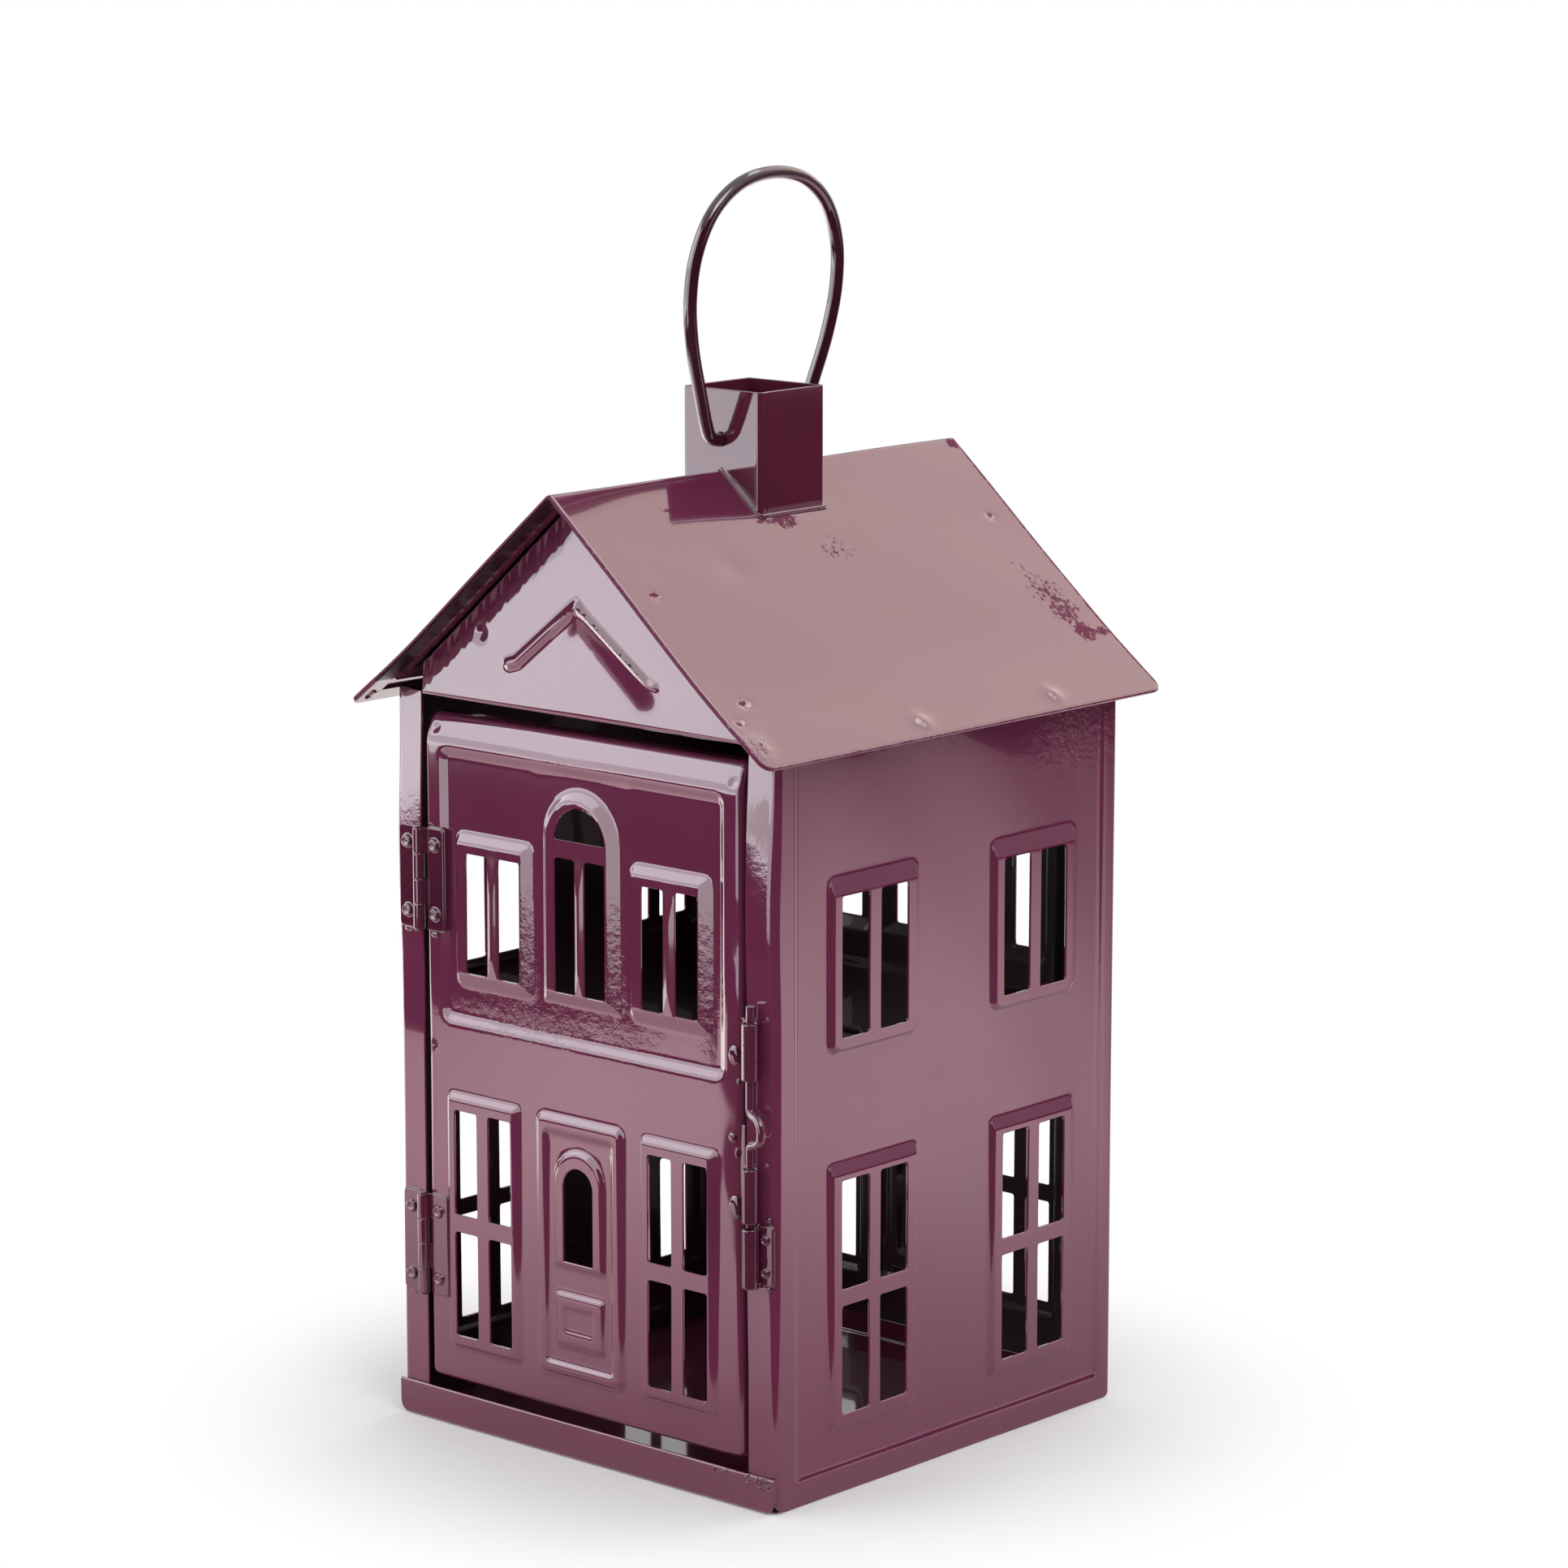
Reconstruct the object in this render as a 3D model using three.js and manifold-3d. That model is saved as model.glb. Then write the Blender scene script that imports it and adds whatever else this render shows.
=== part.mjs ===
// A house-shaped tin lantern for one block candle, enamelled all over, in millimetres.
// X runs to the right along the front, Y from the front to the back and Z up.
// The origin is under the middle of the tray. The sheet parts are pressed, folded, riveted and
// spot welded: tray, two side walls with folded corner strips, back, two gables, roof and flue.
// The front is one door that hangs on two butt hinges and is held by a sliding wire bolt.
import * as THREE from "three";
import { mergeVertices } from "three/addons/utils/BufferGeometryUtils.js";
import Module from "manifold-3d";

const wasm = await Module();
wasm.setup();

// Sheet and clearances
const SHEET = 0.6; // thickness of the walls, tray, door and roof
const LAP = 0.1; // room left between two flat lapped sheets
const SEAT = 0.3; // room left where sheets meet on a slope

// House
const HOUSE_WIDTH = 112.8; // over the side walls
const HOUSE_DEPTH = 115; // over the corner strips
const STRIP_WIDTH = 7.8; // corner strip folded round from a side wall
const CORNER_BEND = 1.8; // outer radius of that fold
const WALL_FOOT = 0.2; // the walls stop this far above the ground
const FOOT_RADIUS = 3; // rounded lower corners of the walls and of the tray's lips
const TOP_FLANGE = 8; // flange of a side wall under the roof

// Tray
const LIP_HEIGHT = 8; // front lip, outside the strips
const LIP = 0.9; // the lip is folded double and pressed flat
const INNER_LIP_HEIGHT = 5; // inside the side walls and the back, below the pressed field

// Roof: one sheet, bent at the ridge and flared towards the eaves
const ROOF_WIDTH = 124.1;
const ROOF_DEPTH = 133.2;
const EAVE_HEIGHT = 163.3; // upper edge of the eave above the ground
const FLARE_RISE = 12.1;
const FLARE_RUN = 15.95;
const ROOF_RISE = 51.8; // ridge above the eave
const HEM = 5; // edge folded under, all round
const HEM_STACK = 0.95; // thickness of the folded edge, pressed flat
const ROOF_CORNER = 3;

// Gables
const GABLE_HALF = 47.8;
const GABLE_LIFT = 2.1; // lower edge above the eave
const GABLE_FLANGE = 5;
const CHEVRON = { foot: 20.8, base: 8.9, apex: 24.4, stroke: 2.6, curl: 2.8, rise: 0.8, slope: 0.8 };

// Door: a shallow pan
const DOOR_MIDDLE = -0.5; // it hangs slightly to the left
const DOOR_HALF = 47.1;
const DOOR_SILL_GAP = 2.3; // above the tray's lip
const DOOR_HEAD_GAP = 3.9; // below the gable
const DOOR_FLANGE = 4.5;
const DOOR_EDGE = 1.5; // rounded edge of the pan
const CORNICE = { height: 5, fillet: 2.1, step: 1.1, back: 2.2 };

// Pressed windows, given from the middle of their panel and from the ground
const RELIEF = 1; // how far a frame or a field is pressed
const FIELD = { half: 42.4, sill: 92.6, head: 154.5, slope: 2, corner: 3 };
const UPPER = {
  at: 26.35, half: 11.95, sill: 101.2, head: 136, side: 3.65, foot: 3.2, top: 4.4,
  mullion: 3.3, rows: 1, transom: 0, corner: 3, slope: 2,
};
const LOWER = {
  at: 29.27, half: 11.3, sill: 18.2, head: 77.2, side: 2.57, foot: 3.1, top: 3.9,
  mullion: 3.3, rows: 2, transom: 3.7, corner: 2, slope: 1,
};
const ARCHED = { half: 11.35, sill: 102, head: 149.5, side: 3.75, foot: 2.4, mullion: 2.6, springing: 134.5, fan: 138.3 };
const RELIEF_DOOR = {
  half: 13.1, sill: 18.2, head: 77.2, band: 2.8, foot: 2.5, top: 3.4, corner: 2.4,
  arch: 7.6, archSill: 43.2, archHead: 70.2, light: 4.55, lightSill: 44.6, lightHead: 66.3,
  flap: 7.4, flapSill: 25.1, flapHead: 37.7, slot: 4.6, slotSill: 28.4, slotHead: 34.6,
};
const BACK_DROP = 3; // the back's windows sit lower than the door's

// Side walls: two columns of two windows in one shallow field
const SIDE_COLUMNS = [-26, 28];
const SIDE_FIELD = { from: -51.5, to: 52.5, sill: 5.5, depth: 0.4, slope: 1.2, corner: 2 };
const SIDE_UPPER = {
  half: 14.7, sill: 97.5, head: 135.9, side: 3.8, foot: 3, top: 4.3,
  mullion: 3.4, rows: 1, transom: 0, corner: 3, slope: 1.8,
};
const SIDE_LOWER = {
  half: 14.7, sill: 14.4, head: 73.7, side: 3.8, foot: 3.1, top: 4.1,
  mullion: 3.4, rows: 2, transom: 3.5, corner: 2, slope: 1.2,
};

// Flue
const FLUE_WIDTH = 22.5;
const FLUE_DEPTH = 21.5;
const FLUE_MIDDLE = -1.5; // along Y
const FLUE_RISE = 17.3; // above the ridge
const FLUE_FOOT = 0.6; // turned edge round its foot
const PIVOT_RISE = 6.5; // the wire's holes above the ridge

// Carrying wire
const WIRE = 3;
const WIRE_PLAY = 0.2; // between the wire and its holes, all round
const WIRE_LEAN = THREE.MathUtils.degToRad(5.6);
// Half of the loop from inside the flue to the top, as distance from the flue's middle and height
const WIRE_LOOP = [
  [8.2, 0], [12.2, 0], [14.4, 0.9], [15.7, 3.2], [18.6, 11], [22, 21],
  [23.8, 31.4], [22.9, 41.3], [18.5, 50.2], [10.8, 55.9],
];
const WIRE_TOP = 57.9;

// Butt hinges
const HINGE_HEIGHTS = { upper: 124.4, lower: 41 };
const HINGE = {
  height: 22.8, leaf: 0.6, barrel: 1.3, pin: 0.6, play: 0.08, clear: 0.3, gap: 0.15,
  frameLeaf: 6.7, doorLeaf: 6.8, rivetSpan: 15.6, knuckles: 4, head: 1, headHeight: 0.5,
};
const HINGE_RIVET = { shank: 0.9, head: 1.5, dome: 0.7, play: 0.1 };

// Sliding bolt, its two guides on the door and its keeper on the strip
const BOLT = { wire: 1.9, at: 51, play: 0.2, top: 112.9, loopTop: 88.6, loopFoot: 79.5, tip: 62.9, reach: 4.9 };
const BOLT_TURN = THREE.MathUtils.degToRad(20); // the finger loop stands away from the wall
const SLEEVE_WALL = 0.65;
const SLEEVE_CLEAR = 0.3; // between a sleeve and the strip behind it
const GUIDES = {
  upper: { from: 94.9, to: 107, tongue: 107, rivets: [98.8] },
  lower: { from: 64, to: 75.5, tongue: 83.8, rivets: [66.6, 80.9] },
};
const TONGUE_EDGE = 42.4; // inner edge of a guide's tongue, behind the door's sheet
const TONGUE_RIVET = 43.6;
const KEEPER = { from: 49.8, to: 62.5, plateFrom: 50.5, plateTo: 63.3, edge: 56, rivet: 54, rivets: [53.2, 60.4] };
const LATCH_RIVET = { shank: 0.7, head: 1.2, dome: 0.5, play: 0.1 };

// Places that follow from the sizes
const WALL_X = HOUSE_WIDTH / 2;
const WALL_Y = HOUSE_DEPTH / 2;
const STRIP_X = WALL_X - STRIP_WIDTH;
const RIDGE = EAVE_HEIGHT + ROOF_RISE;
const GABLE_FOOT = EAVE_HEIGHT + GABLE_LIFT;
const DOOR_SILL = LIP_HEIGHT + DOOR_SILL_GAP;
const DOOR_HEAD = GABLE_FOOT - DOOR_HEAD_GAP;
const PIVOT = RIDGE + PIVOT_RISE;
const BARREL_X = (DOOR_MIDDLE - DOOR_HALF - STRIP_X) / 2;
const BARREL_Y = -WALL_Y - LAP - HINGE.barrel;
const BOLT_Y = -WALL_Y - SLEEVE_CLEAR - SLEEVE_WALL - BOLT.play - BOLT.wire / 2;
const FAR = 400; // past every face of the lantern
const ARC = 2; // steps in a small rounded corner
const HEAD_ARC = 10; // steps round the half circle of an arched head
const ROUND = 12; // sides of a small turned piece
const SMALL_ROUND = 8; // sides of a rivet, its hole and a wire
const BOLT_STEPS = 40; // lengths along the bolt
const WIRE_STEPS = 64; // lengths along the carrying wire

// Directions of a panel's own axes (along, up, out) on each face of the house
const FRONT = [[1, 0, 0], [0, 0, 1], [0, -1, 0]];
const BACK = [[-1, 0, 0], [0, 0, 1], [0, 1, 0]];
const RIGHT = [[0, 1, 0], [0, 0, 1], [1, 0, 0]];

// Solids

function solid(geometry) {
  const bare = geometry.index ? geometry.toNonIndexed() : geometry.clone();
  bare.deleteAttribute("normal");
  bare.deleteAttribute("uv");
  const merged = mergeVertices(bare, 1e-4);
  const triVerts = new Uint32Array(merged.index.array);
  const vertProperties = merged.attributes.position.array;
  const body = new wasm.Manifold(new wasm.Mesh({ numProp: 3, vertProperties, triVerts }));
  if (body.volume() > 0) return body;
  triVerts.reverse();
  return new wasm.Manifold(new wasm.Mesh({ numProp: 3, vertProperties, triVerts }));
}

function geometryOf(body) {
  const mesh = body.asOriginal().simplify(1e-4).getMesh();
  const geometry = new THREE.BufferGeometry();
  geometry.setAttribute("position", new THREE.BufferAttribute(mesh.vertProperties, 3));
  geometry.setIndex(new THREE.BufferAttribute(mesh.triVerts, 1));
  const flat = geometry.toNonIndexed();
  flat.computeVertexNormals();
  return flat;
}

function joined(bodies) {
  return bodies.reduce((all, body) => all.add(body));
}

function cutBy(body, cutters) {
  return cutters.reduce((left, cutter) => left.subtract(cutter), body);
}

function box(low, high) {
  const size = high.map((value, i) => value - low[i]);
  const middle = high.map((value, i) => (value + low[i]) / 2);
  return solid(new THREE.BoxGeometry(...size).translate(...middle));
}

// From a panel's own axes to its place, offset outwards from the middle of the house
function placeOf([along, up, out], offset) {
  const basis = new THREE.Matrix4().makeBasis(
    new THREE.Vector3(...along),
    new THREE.Vector3(...up),
    new THREE.Vector3(...out),
  );
  return basis.setPosition(new THREE.Vector3(...out).multiplyScalar(offset));
}

function onFace(body, face, offset) {
  return body.transform(placeOf(face, offset).elements);
}

function offFace(body, face, offset) {
  return body.transform(placeOf(face, offset).invert().elements);
}

// Outlines, drawn along and up

function rounded(left, low, right, high, radius) {
  const shape = new THREE.Shape();
  shape.moveTo(left + radius, low);
  shape.lineTo(right - radius, low);
  shape.absarc(right - radius, low + radius, radius, -Math.PI / 2, 0);
  shape.lineTo(right, high - radius);
  shape.absarc(right - radius, high - radius, radius, 0, Math.PI / 2);
  shape.lineTo(left + radius, high);
  shape.absarc(left + radius, high - radius, radius, Math.PI / 2, Math.PI);
  shape.lineTo(left, low + radius);
  shape.absarc(left + radius, low + radius, radius, Math.PI, 1.5 * Math.PI);
  return shape;
}

// Square above, with rounded lower corners
function footed(half, low, high) {
  const shape = new THREE.Shape();
  shape.moveTo(-half, high);
  shape.lineTo(-half, low + FOOT_RADIUS);
  shape.absarc(-half + FOOT_RADIUS, low + FOOT_RADIUS, FOOT_RADIUS, Math.PI, 1.5 * Math.PI);
  shape.lineTo(half - FOOT_RADIUS, low);
  shape.absarc(half - FOOT_RADIUS, low + FOOT_RADIUS, FOOT_RADIUS, -Math.PI / 2, 0);
  shape.lineTo(half, high);
  return shape;
}

function arched(half, low, high, radius) {
  const shape = new THREE.Shape();
  const spring = high - half;
  shape.moveTo(-half + radius, low);
  shape.lineTo(half - radius, low);
  shape.absarc(half - radius, low + radius, radius, -Math.PI / 2, 0);
  shape.lineTo(half, spring);
  for (let i = 1; i < HEAD_ARC; i++) {
    const turn = (i / HEAD_ARC) * Math.PI;
    shape.lineTo(half * Math.cos(turn), spring + half * Math.sin(turn));
  }
  shape.lineTo(-half, spring);
  shape.lineTo(-half, low + radius);
  shape.absarc(-half + radius, low + radius, radius, Math.PI, 1.5 * Math.PI);
  return shape;
}

function polygon(points) {
  return new THREE.Shape(points.map(([x, y]) => new THREE.Vector2(x, y)));
}

function prism(shape, from, to, curveSegments = ARC) {
  const depth = to - from;
  const geometry = new THREE.ExtrudeGeometry(shape, { depth, bevelEnabled: false, curveSegments });
  return solid(geometry.translate(0, 0, from));
}

// A prism with one end drawn in: over level it narrows by slope while it climbs by height
function mound(shape, level, root, height, slope, rounds = 1) {
  const geometry = new THREE.ExtrudeGeometry(shape, {
    depth: root,
    bevelThickness: height,
    bevelSize: slope,
    bevelOffset: -slope,
    bevelSegments: rounds,
    curveSegments: ARC,
  });
  return solid(geometry.translate(0, 0, level - root)).trimByPlane([0, 0, 1], level - root);
}

// Presses a sheet whose outer face lies at level: outwards where rise is positive
function pressed(sheet, shape, level, rise, slope) {
  if (rise > 0) {
    const punch = mound(shape, level, SHEET, rise, slope);
    return sheet.add(punch).subtract(punch.translate([0, 0, -SHEET]));
  }
  const dip = mound(shape, -level, 2 * SHEET, -rise, slope).mirror([0, 0, 1]);
  return sheet.add(dip.translate([0, 0, -SHEET])).subtract(dip);
}

// Windows

function lights(window, along) {
  const openings = [];
  const reach = window.half - window.side;
  const low = window.sill + window.foot;
  const high = window.head - window.top;
  const row = (high - low - (window.rows - 1) * window.transom) / window.rows;
  for (const side of [-1, 1]) {
    for (let i = 0; i < window.rows; i++) {
      const foot = low + i * (row + window.transom);
      const near = along + (side * window.mullion) / 2;
      const far = along + side * reach;
      openings.push(box([Math.min(near, far), foot, -FAR], [Math.max(near, far), foot + row, FAR]));
    }
  }
  return openings;
}

function framed(sheet, window, along, level) {
  const shape = rounded(along - window.half, window.sill, along + window.half, window.head, window.corner);
  const raised = pressed(sheet, shape, level, RELIEF, window.slope);
  return cutBy(raised, lights(window, along));
}

function archedWindow(sheet, level) {
  const { half, sill, head, side, foot, mullion, springing, fan } = ARCHED;
  const frame = pressed(sheet, arched(half, sill, head, UPPER.corner), level, RELIEF, UPPER.slope);
  const light = half - side;
  const fanlight = arched(light, fan - light, fan + light, SHEET);
  return cutBy(frame, [
    box([mullion / 2, sill + foot, -FAR], [light, springing, FAR]),
    box([-light, sill + foot, -FAR], [-mullion / 2, springing, FAR]),
    prism(fanlight, -FAR, FAR).subtract(box([-FAR, 0, -FAR], [FAR, fan, FAR])),
  ]);
}

// The small house door that is pressed into the panel, with a letter flap
function reliefDoor(sheet) {
  const d = RELIEF_DOOR;
  const inner = d.half - d.band;
  const sunk = RELIEF * 0.7;
  const steps = [
    [rounded(-d.half, d.sill, d.half, d.head, d.corner), 0, RELIEF],
    [rounded(-inner, d.sill + d.foot, inner, d.head - d.top, d.corner / 2), RELIEF, -sunk],
    [arched(d.arch, d.archSill, d.archHead, d.corner / 2), RELIEF - sunk, sunk],
    [rounded(-d.flap, d.flapSill, d.flap, d.flapHead, d.corner / 2), RELIEF - sunk, sunk],
    [rounded(-d.slot, d.slotSill, d.slot, d.slotHead, d.corner / 3), RELIEF, -sunk / 2],
  ];
  const panel = steps.reduce((body, [shape, level, rise]) => pressed(body, shape, level, rise, sunk), sheet);
  return panel.subtract(prism(arched(d.light, d.lightSill, d.lightHead, SHEET), -FAR, FAR));
}

// The relief that the door and the back share
function houseFront(sheet) {
  const field = rounded(-FIELD.half, FIELD.sill, FIELD.half, FIELD.head, FIELD.corner);
  let body = pressed(sheet, field, 0, -RELIEF, FIELD.slope);
  body = archedWindow(body, -RELIEF);
  for (const side of [-1, 1]) {
    body = framed(body, UPPER, side * UPPER.at, -RELIEF);
    body = framed(body, LOWER, side * LOWER.at, 0);
  }
  return reliefDoor(body);
}

// Roof section: height of a face that lies drop below the roof's upper face
function roofHeight(x, drop) {
  const flare = FLARE_RISE / FLARE_RUN;
  const pitch = (ROOF_RISE - FLARE_RISE) / (ROOF_WIDTH / 2 - FLARE_RUN);
  const low = EAVE_HEIGHT + (ROOF_WIDTH / 2 - Math.abs(x)) * flare - drop * Math.hypot(1, flare);
  const high = RIDGE - Math.abs(x) * pitch - drop * Math.hypot(1, pitch);
  return Math.max(low, high);
}

function roofKink(drop) {
  const flare = FLARE_RISE / FLARE_RUN;
  const pitch = (ROOF_RISE - FLARE_RISE) / (ROOF_WIDTH / 2 - FLARE_RUN);
  const lift = drop * (Math.hypot(1, pitch) - Math.hypot(1, flare));
  return ROOF_WIDTH / 2 - FLARE_RUN - lift / (pitch - flare);
}

// Everything under a face of the roof, between two half widths, from front to back
function underRoof(drop, half = FAR) {
  const kink = roofKink(drop);
  const tops = [half, kink, 0, -kink, -half].filter((x) => Math.abs(x) <= half);
  const line = tops.map((x) => [x, roofHeight(x, drop)]);
  const shape = polygon([[-half, -FAR], [half, -FAR], ...line]);
  return onFace(prism(shape, -FAR, FAR), FRONT, 0);
}

function roofLayer(top, bottom) {
  return underRoof(top, ROOF_WIDTH / 2).subtract(underRoof(bottom));
}

function plan(halfX, halfY, radius) {
  return prism(rounded(-halfX, -halfY, halfX, halfY, radius), -FAR, FAR, 2 * ARC);
}

// Sheet parts

function tray() {
  const outer = WALL_Y + LAP + LIP;
  const side = WALL_X - SHEET - LAP;
  const front = WALL_Y - SHEET - LAP - CORNER_BEND;
  const back = WALL_Y - 2 * SHEET - 2 * LAP;
  const floor = box([-side, -outer, 0], [side, back, SHEET]);
  const lip = prism(footed(WALL_X, 0, LIP_HEIGHT), WALL_Y + LAP, outer);
  const sides = [-side, side - SHEET].map((x) => box([x, -front, 0], [x + SHEET, back, INNER_LIP_HEIGHT]));
  const rear = box([-side, back - SHEET, 0], [side, back, INNER_LIP_HEIGHT]);
  return joined([floor, onFace(lip, FRONT, 0), rear, ...sides]);
}

// The right wall with its two folded strips. The left wall is this one turned half round,
// so frontEnd says which end of it stands over the tray's floor
function sideWall(frontEnd, rivetHoles) {
  const long = rounded(-FAR, -WALL_Y, WALL_X, WALL_Y, CORNER_BEND);
  const hollow = rounded(-FAR, -WALL_Y + SHEET, WALL_X - SHEET, WALL_Y - SHEET, CORNER_BEND - SHEET);
  const folded = prism(long, WALL_FOOT, FAR).subtract(prism(hollow, -FAR, FAR));
  const open = folded.subtract(box([-FAR, -FAR, -FAR], [STRIP_X, FAR, FAR]));
  const ends = [0, frontEnd * HOUSE_DEPTH].sort((a, b) => a - b);
  const clearOfTray = box([0, ends[0], -FAR], [WALL_X - SHEET, ends[1], SHEET + LAP]);
  const shoulder = box([WALL_X - TOP_FLANGE, 0, 0], [WALL_X - SHEET / 2, 1, FAR]);
  const run = WALL_Y - GABLE_FLANGE - 2 * SEAT;
  const flange = underRoof(SHEET + SEAT)
    .subtract(underRoof(2 * SHEET + SEAT))
    .intersect(shoulder.scale([1, 2 * run, 1]).translate([0, -run, 0]));
  const wall = open.intersect(underRoof(SHEET + SEAT)).subtract(clearOfTray).add(flange);
  const upright = onFace(prism(footed(WALL_Y, WALL_FOOT, FAR), -FAR, FAR), RIGHT, 0);
  return cutBy(windowsPressed(wall.intersect(upright)), rivetHoles);
}

function windowsPressed(wall) {
  const { from, to, sill, depth, slope, corner } = SIDE_FIELD;
  const field = rounded(from, sill, to, EAVE_HEIGHT - corner, corner);
  let body = pressed(offFace(wall, RIGHT, WALL_X), field, 0, -depth, slope);
  for (const column of SIDE_COLUMNS) {
    body = framed(body, SIDE_UPPER, column, -depth);
    body = framed(body, SIDE_LOWER, column, -depth);
  }
  return onFace(body, RIGHT, WALL_X);
}

function backPanel() {
  const half = WALL_X - SHEET - 2 * LAP - CORNER_BEND;
  const plate = box([-half, WALL_FOOT, -SHEET], [half, GABLE_FOOT - SEAT, 0]);
  const relief = houseFront(plate.translate([0, BACK_DROP, 0])).translate([0, -BACK_DROP, 0]);
  return onFace(relief, BACK, WALL_Y - SHEET - LAP);
}

function gableBlock(inset, from, to) {
  const drop = SHEET + SEAT + inset;
  const half = GABLE_HALF - inset;
  const kink = roofKink(drop);
  const right = [half, kink].filter((x) => x <= half).map((x) => [x, roofHeight(x, drop)]);
  const left = right.map(([x, z]) => [-x, z]).reverse();
  const foot = GABLE_FOOT + inset;
  const line = [[-half, foot], [half, foot], ...right, [0, roofHeight(0, drop)], ...left];
  return prism(polygon(line), from, to);
}

function chevron() {
  const { foot, base, apex, stroke, curl } = CHEVRON;
  const lean = Math.hypot(apex - base, foot) / foot;
  const half = (stroke / 2) * lean;
  const right = [
    [foot - half, base - half / 2],
    [foot + curl, base - half],
    [foot + curl, base + half / 2],
    [foot, base + half],
  ];
  const left = right.map(([x, z]) => [-x, z]).reverse();
  const up = ([x, z]) => [x, GABLE_FOOT + z];
  return polygon([[0, apex - half], ...right, [0, apex + half], ...left].map(up));
}

function gable(face) {
  const shell = gableBlock(0, -GABLE_FLANGE, 0).subtract(gableBlock(SHEET, -FAR, -SHEET));
  const body = pressed(shell, chevron(), 0, CHEVRON.rise, CHEVRON.slope);
  return onFace(body, face, WALL_Y);
}

function roof() {
  const sheet = roofLayer(0, SHEET).intersect(plan(ROOF_WIDTH / 2, ROOF_DEPTH / 2, ROOF_CORNER));
  const ring = plan(ROOF_WIDTH / 2, ROOF_DEPTH / 2, ROOF_CORNER)
    .subtract(plan(ROOF_WIDTH / 2 - HEM, ROOF_DEPTH / 2 - HEM, SHEET));
  const hem = roofLayer(SHEET / 2, HEM_STACK).intersect(ring);
  const x = FLUE_WIDTH / 2 - SHEET - FLUE_FOOT;
  const y = FLUE_DEPTH / 2 - SHEET - FLUE_FOOT;
  const hole = box([-x, FLUE_MIDDLE - y, 0], [x, FLUE_MIDDLE + y, FAR]);
  return sheet.add(hem).subtract(hole);
}

function flue() {
  const tube = (grow) => {
    const x = FLUE_WIDTH / 2 + grow;
    const y = FLUE_DEPTH / 2 + grow;
    return prism(rounded(-x, -y, x, y, SHEET + Math.max(grow, -SHEET / 2)), 0, RIDGE + FLUE_RISE);
  };
  const bore = tube(-SHEET).translate([0, 0, FLUE_RISE]).add(tube(-SHEET));
  const walls = tube(0).subtract(underRoofAtFlue(-SEAT));
  const foot = tube(FLUE_FOOT)
    .intersect(underRoofAtFlue(-SEAT - SHEET))
    .subtract(underRoofAtFlue(-SEAT));
  const radius = WIRE / 2 + WIRE_PLAY;
  const holes = new THREE.CylinderGeometry(radius, radius, FAR, ROUND).translate(0, 0, PIVOT);
  return walls.add(foot).subtract(bore).subtract(solid(holes)).translate([0, FLUE_MIDDLE, 0]);
}

function underRoofAtFlue(drop) {
  return underRoof(drop, FLUE_WIDTH);
}

function doorBlock(inset, back) {
  const edge = DOOR_EDGE - inset;
  const half = DOOR_HALF - inset;
  const outline = rounded(-half, DOOR_SILL + inset, half, DOOR_HEAD - inset, 2 * DOOR_EDGE - inset);
  const block = mound(outline, -DOOR_EDGE, back - DOOR_EDGE, edge, edge, 2);
  const { height, fillet, step, back: fall } = CORNICE;
  const foot = DOOR_HEAD - height;
  const slope = polygon([
    [foot, 0], [foot + fillet, -step], [foot + fillet + SHEET, -step],
    [DOOR_HEAD, -fall], [DOOR_HEAD + SHEET, -fall], [DOOR_HEAD + SHEET, FAR], [foot, FAR],
  ]);
  // Drawn as a section, so it is turned to run along the panel
  const wedge = onFace(prism(slope, -FAR, FAR), RIGHT, 0);
  return block.subtract(wedge.translate([0, 0, -inset]));
}

function door() {
  const pan = doorBlock(0, DOOR_FLANGE).subtract(doorBlock(SHEET, 2 * DOOR_FLANGE));
  const panel = onFace(houseFront(pan).translate([DOOR_MIDDLE, 0, 0]), FRONT, WALL_Y);
  const edge = DOOR_MIDDLE + DOOR_HALF;
  const sheetBack = -WALL_Y + SHEET;
  const slots = Object.values(GUIDES).map(({ from, to }) =>
    box([edge - DOOR_EDGE, sheetBack, from - SEAT], [edge + 1, sheetBack + SHEET + SEAT, to + SEAT]));
  return cutBy(panel, [...slots, ...doorRivetHoles()]);
}

// Rivets and their holes

function rivetHole(x, z, rivet) {
  const radius = rivet.shank + rivet.play;
  const hole = new THREE.CylinderGeometry(radius, radius, HOUSE_DEPTH, SMALL_ROUND);
  return solid(hole.translate(x, -WALL_Y, z));
}

function hingeRivetPlaces() {
  const places = [];
  const frame = BARREL_X - (HINGE.frameLeaf + HINGE.barrel + HINGE.clear) / 2;
  const leaf = BARREL_X + (HINGE.doorLeaf + HINGE.barrel + HINGE.clear) / 2;
  for (const [level, z] of Object.entries(HINGE_HEIGHTS)) {
    for (const [end, sign] of [["top", 1], ["foot", -1]]) {
      const height = z + (sign * HINGE.rivetSpan) / 2;
      places.push({ name: `${level}_hinge_frame_rivet_${end}`, side: "frame", x: frame, z: height });
      places.push({ name: `${level}_hinge_door_rivet_${end}`, side: "door", x: leaf, z: height });
    }
  }
  return places;
}

function guideRivetPlaces() {
  return Object.entries(GUIDES).flatMap(([level, guide]) =>
    guide.rivets.map((z, i) => ({ name: `${level}_guide_rivet_${i + 1}`, x: TONGUE_RIVET, z })));
}

function keeperRivetPlaces() {
  return KEEPER.rivets.map((z, i) => ({ name: `keeper_rivet_${i + 1}`, x: KEEPER.rivet, z }));
}

function holesAt(places, rivet) {
  return places.map(({ x, z }) => rivetHole(x, z, rivet));
}

function doorRivetHoles() {
  const hinge = hingeRivetPlaces().filter(({ side }) => side === "door");
  return [...holesAt(hinge, HINGE_RIVET), ...holesAt(guideRivetPlaces(), LATCH_RIVET)];
}

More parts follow.
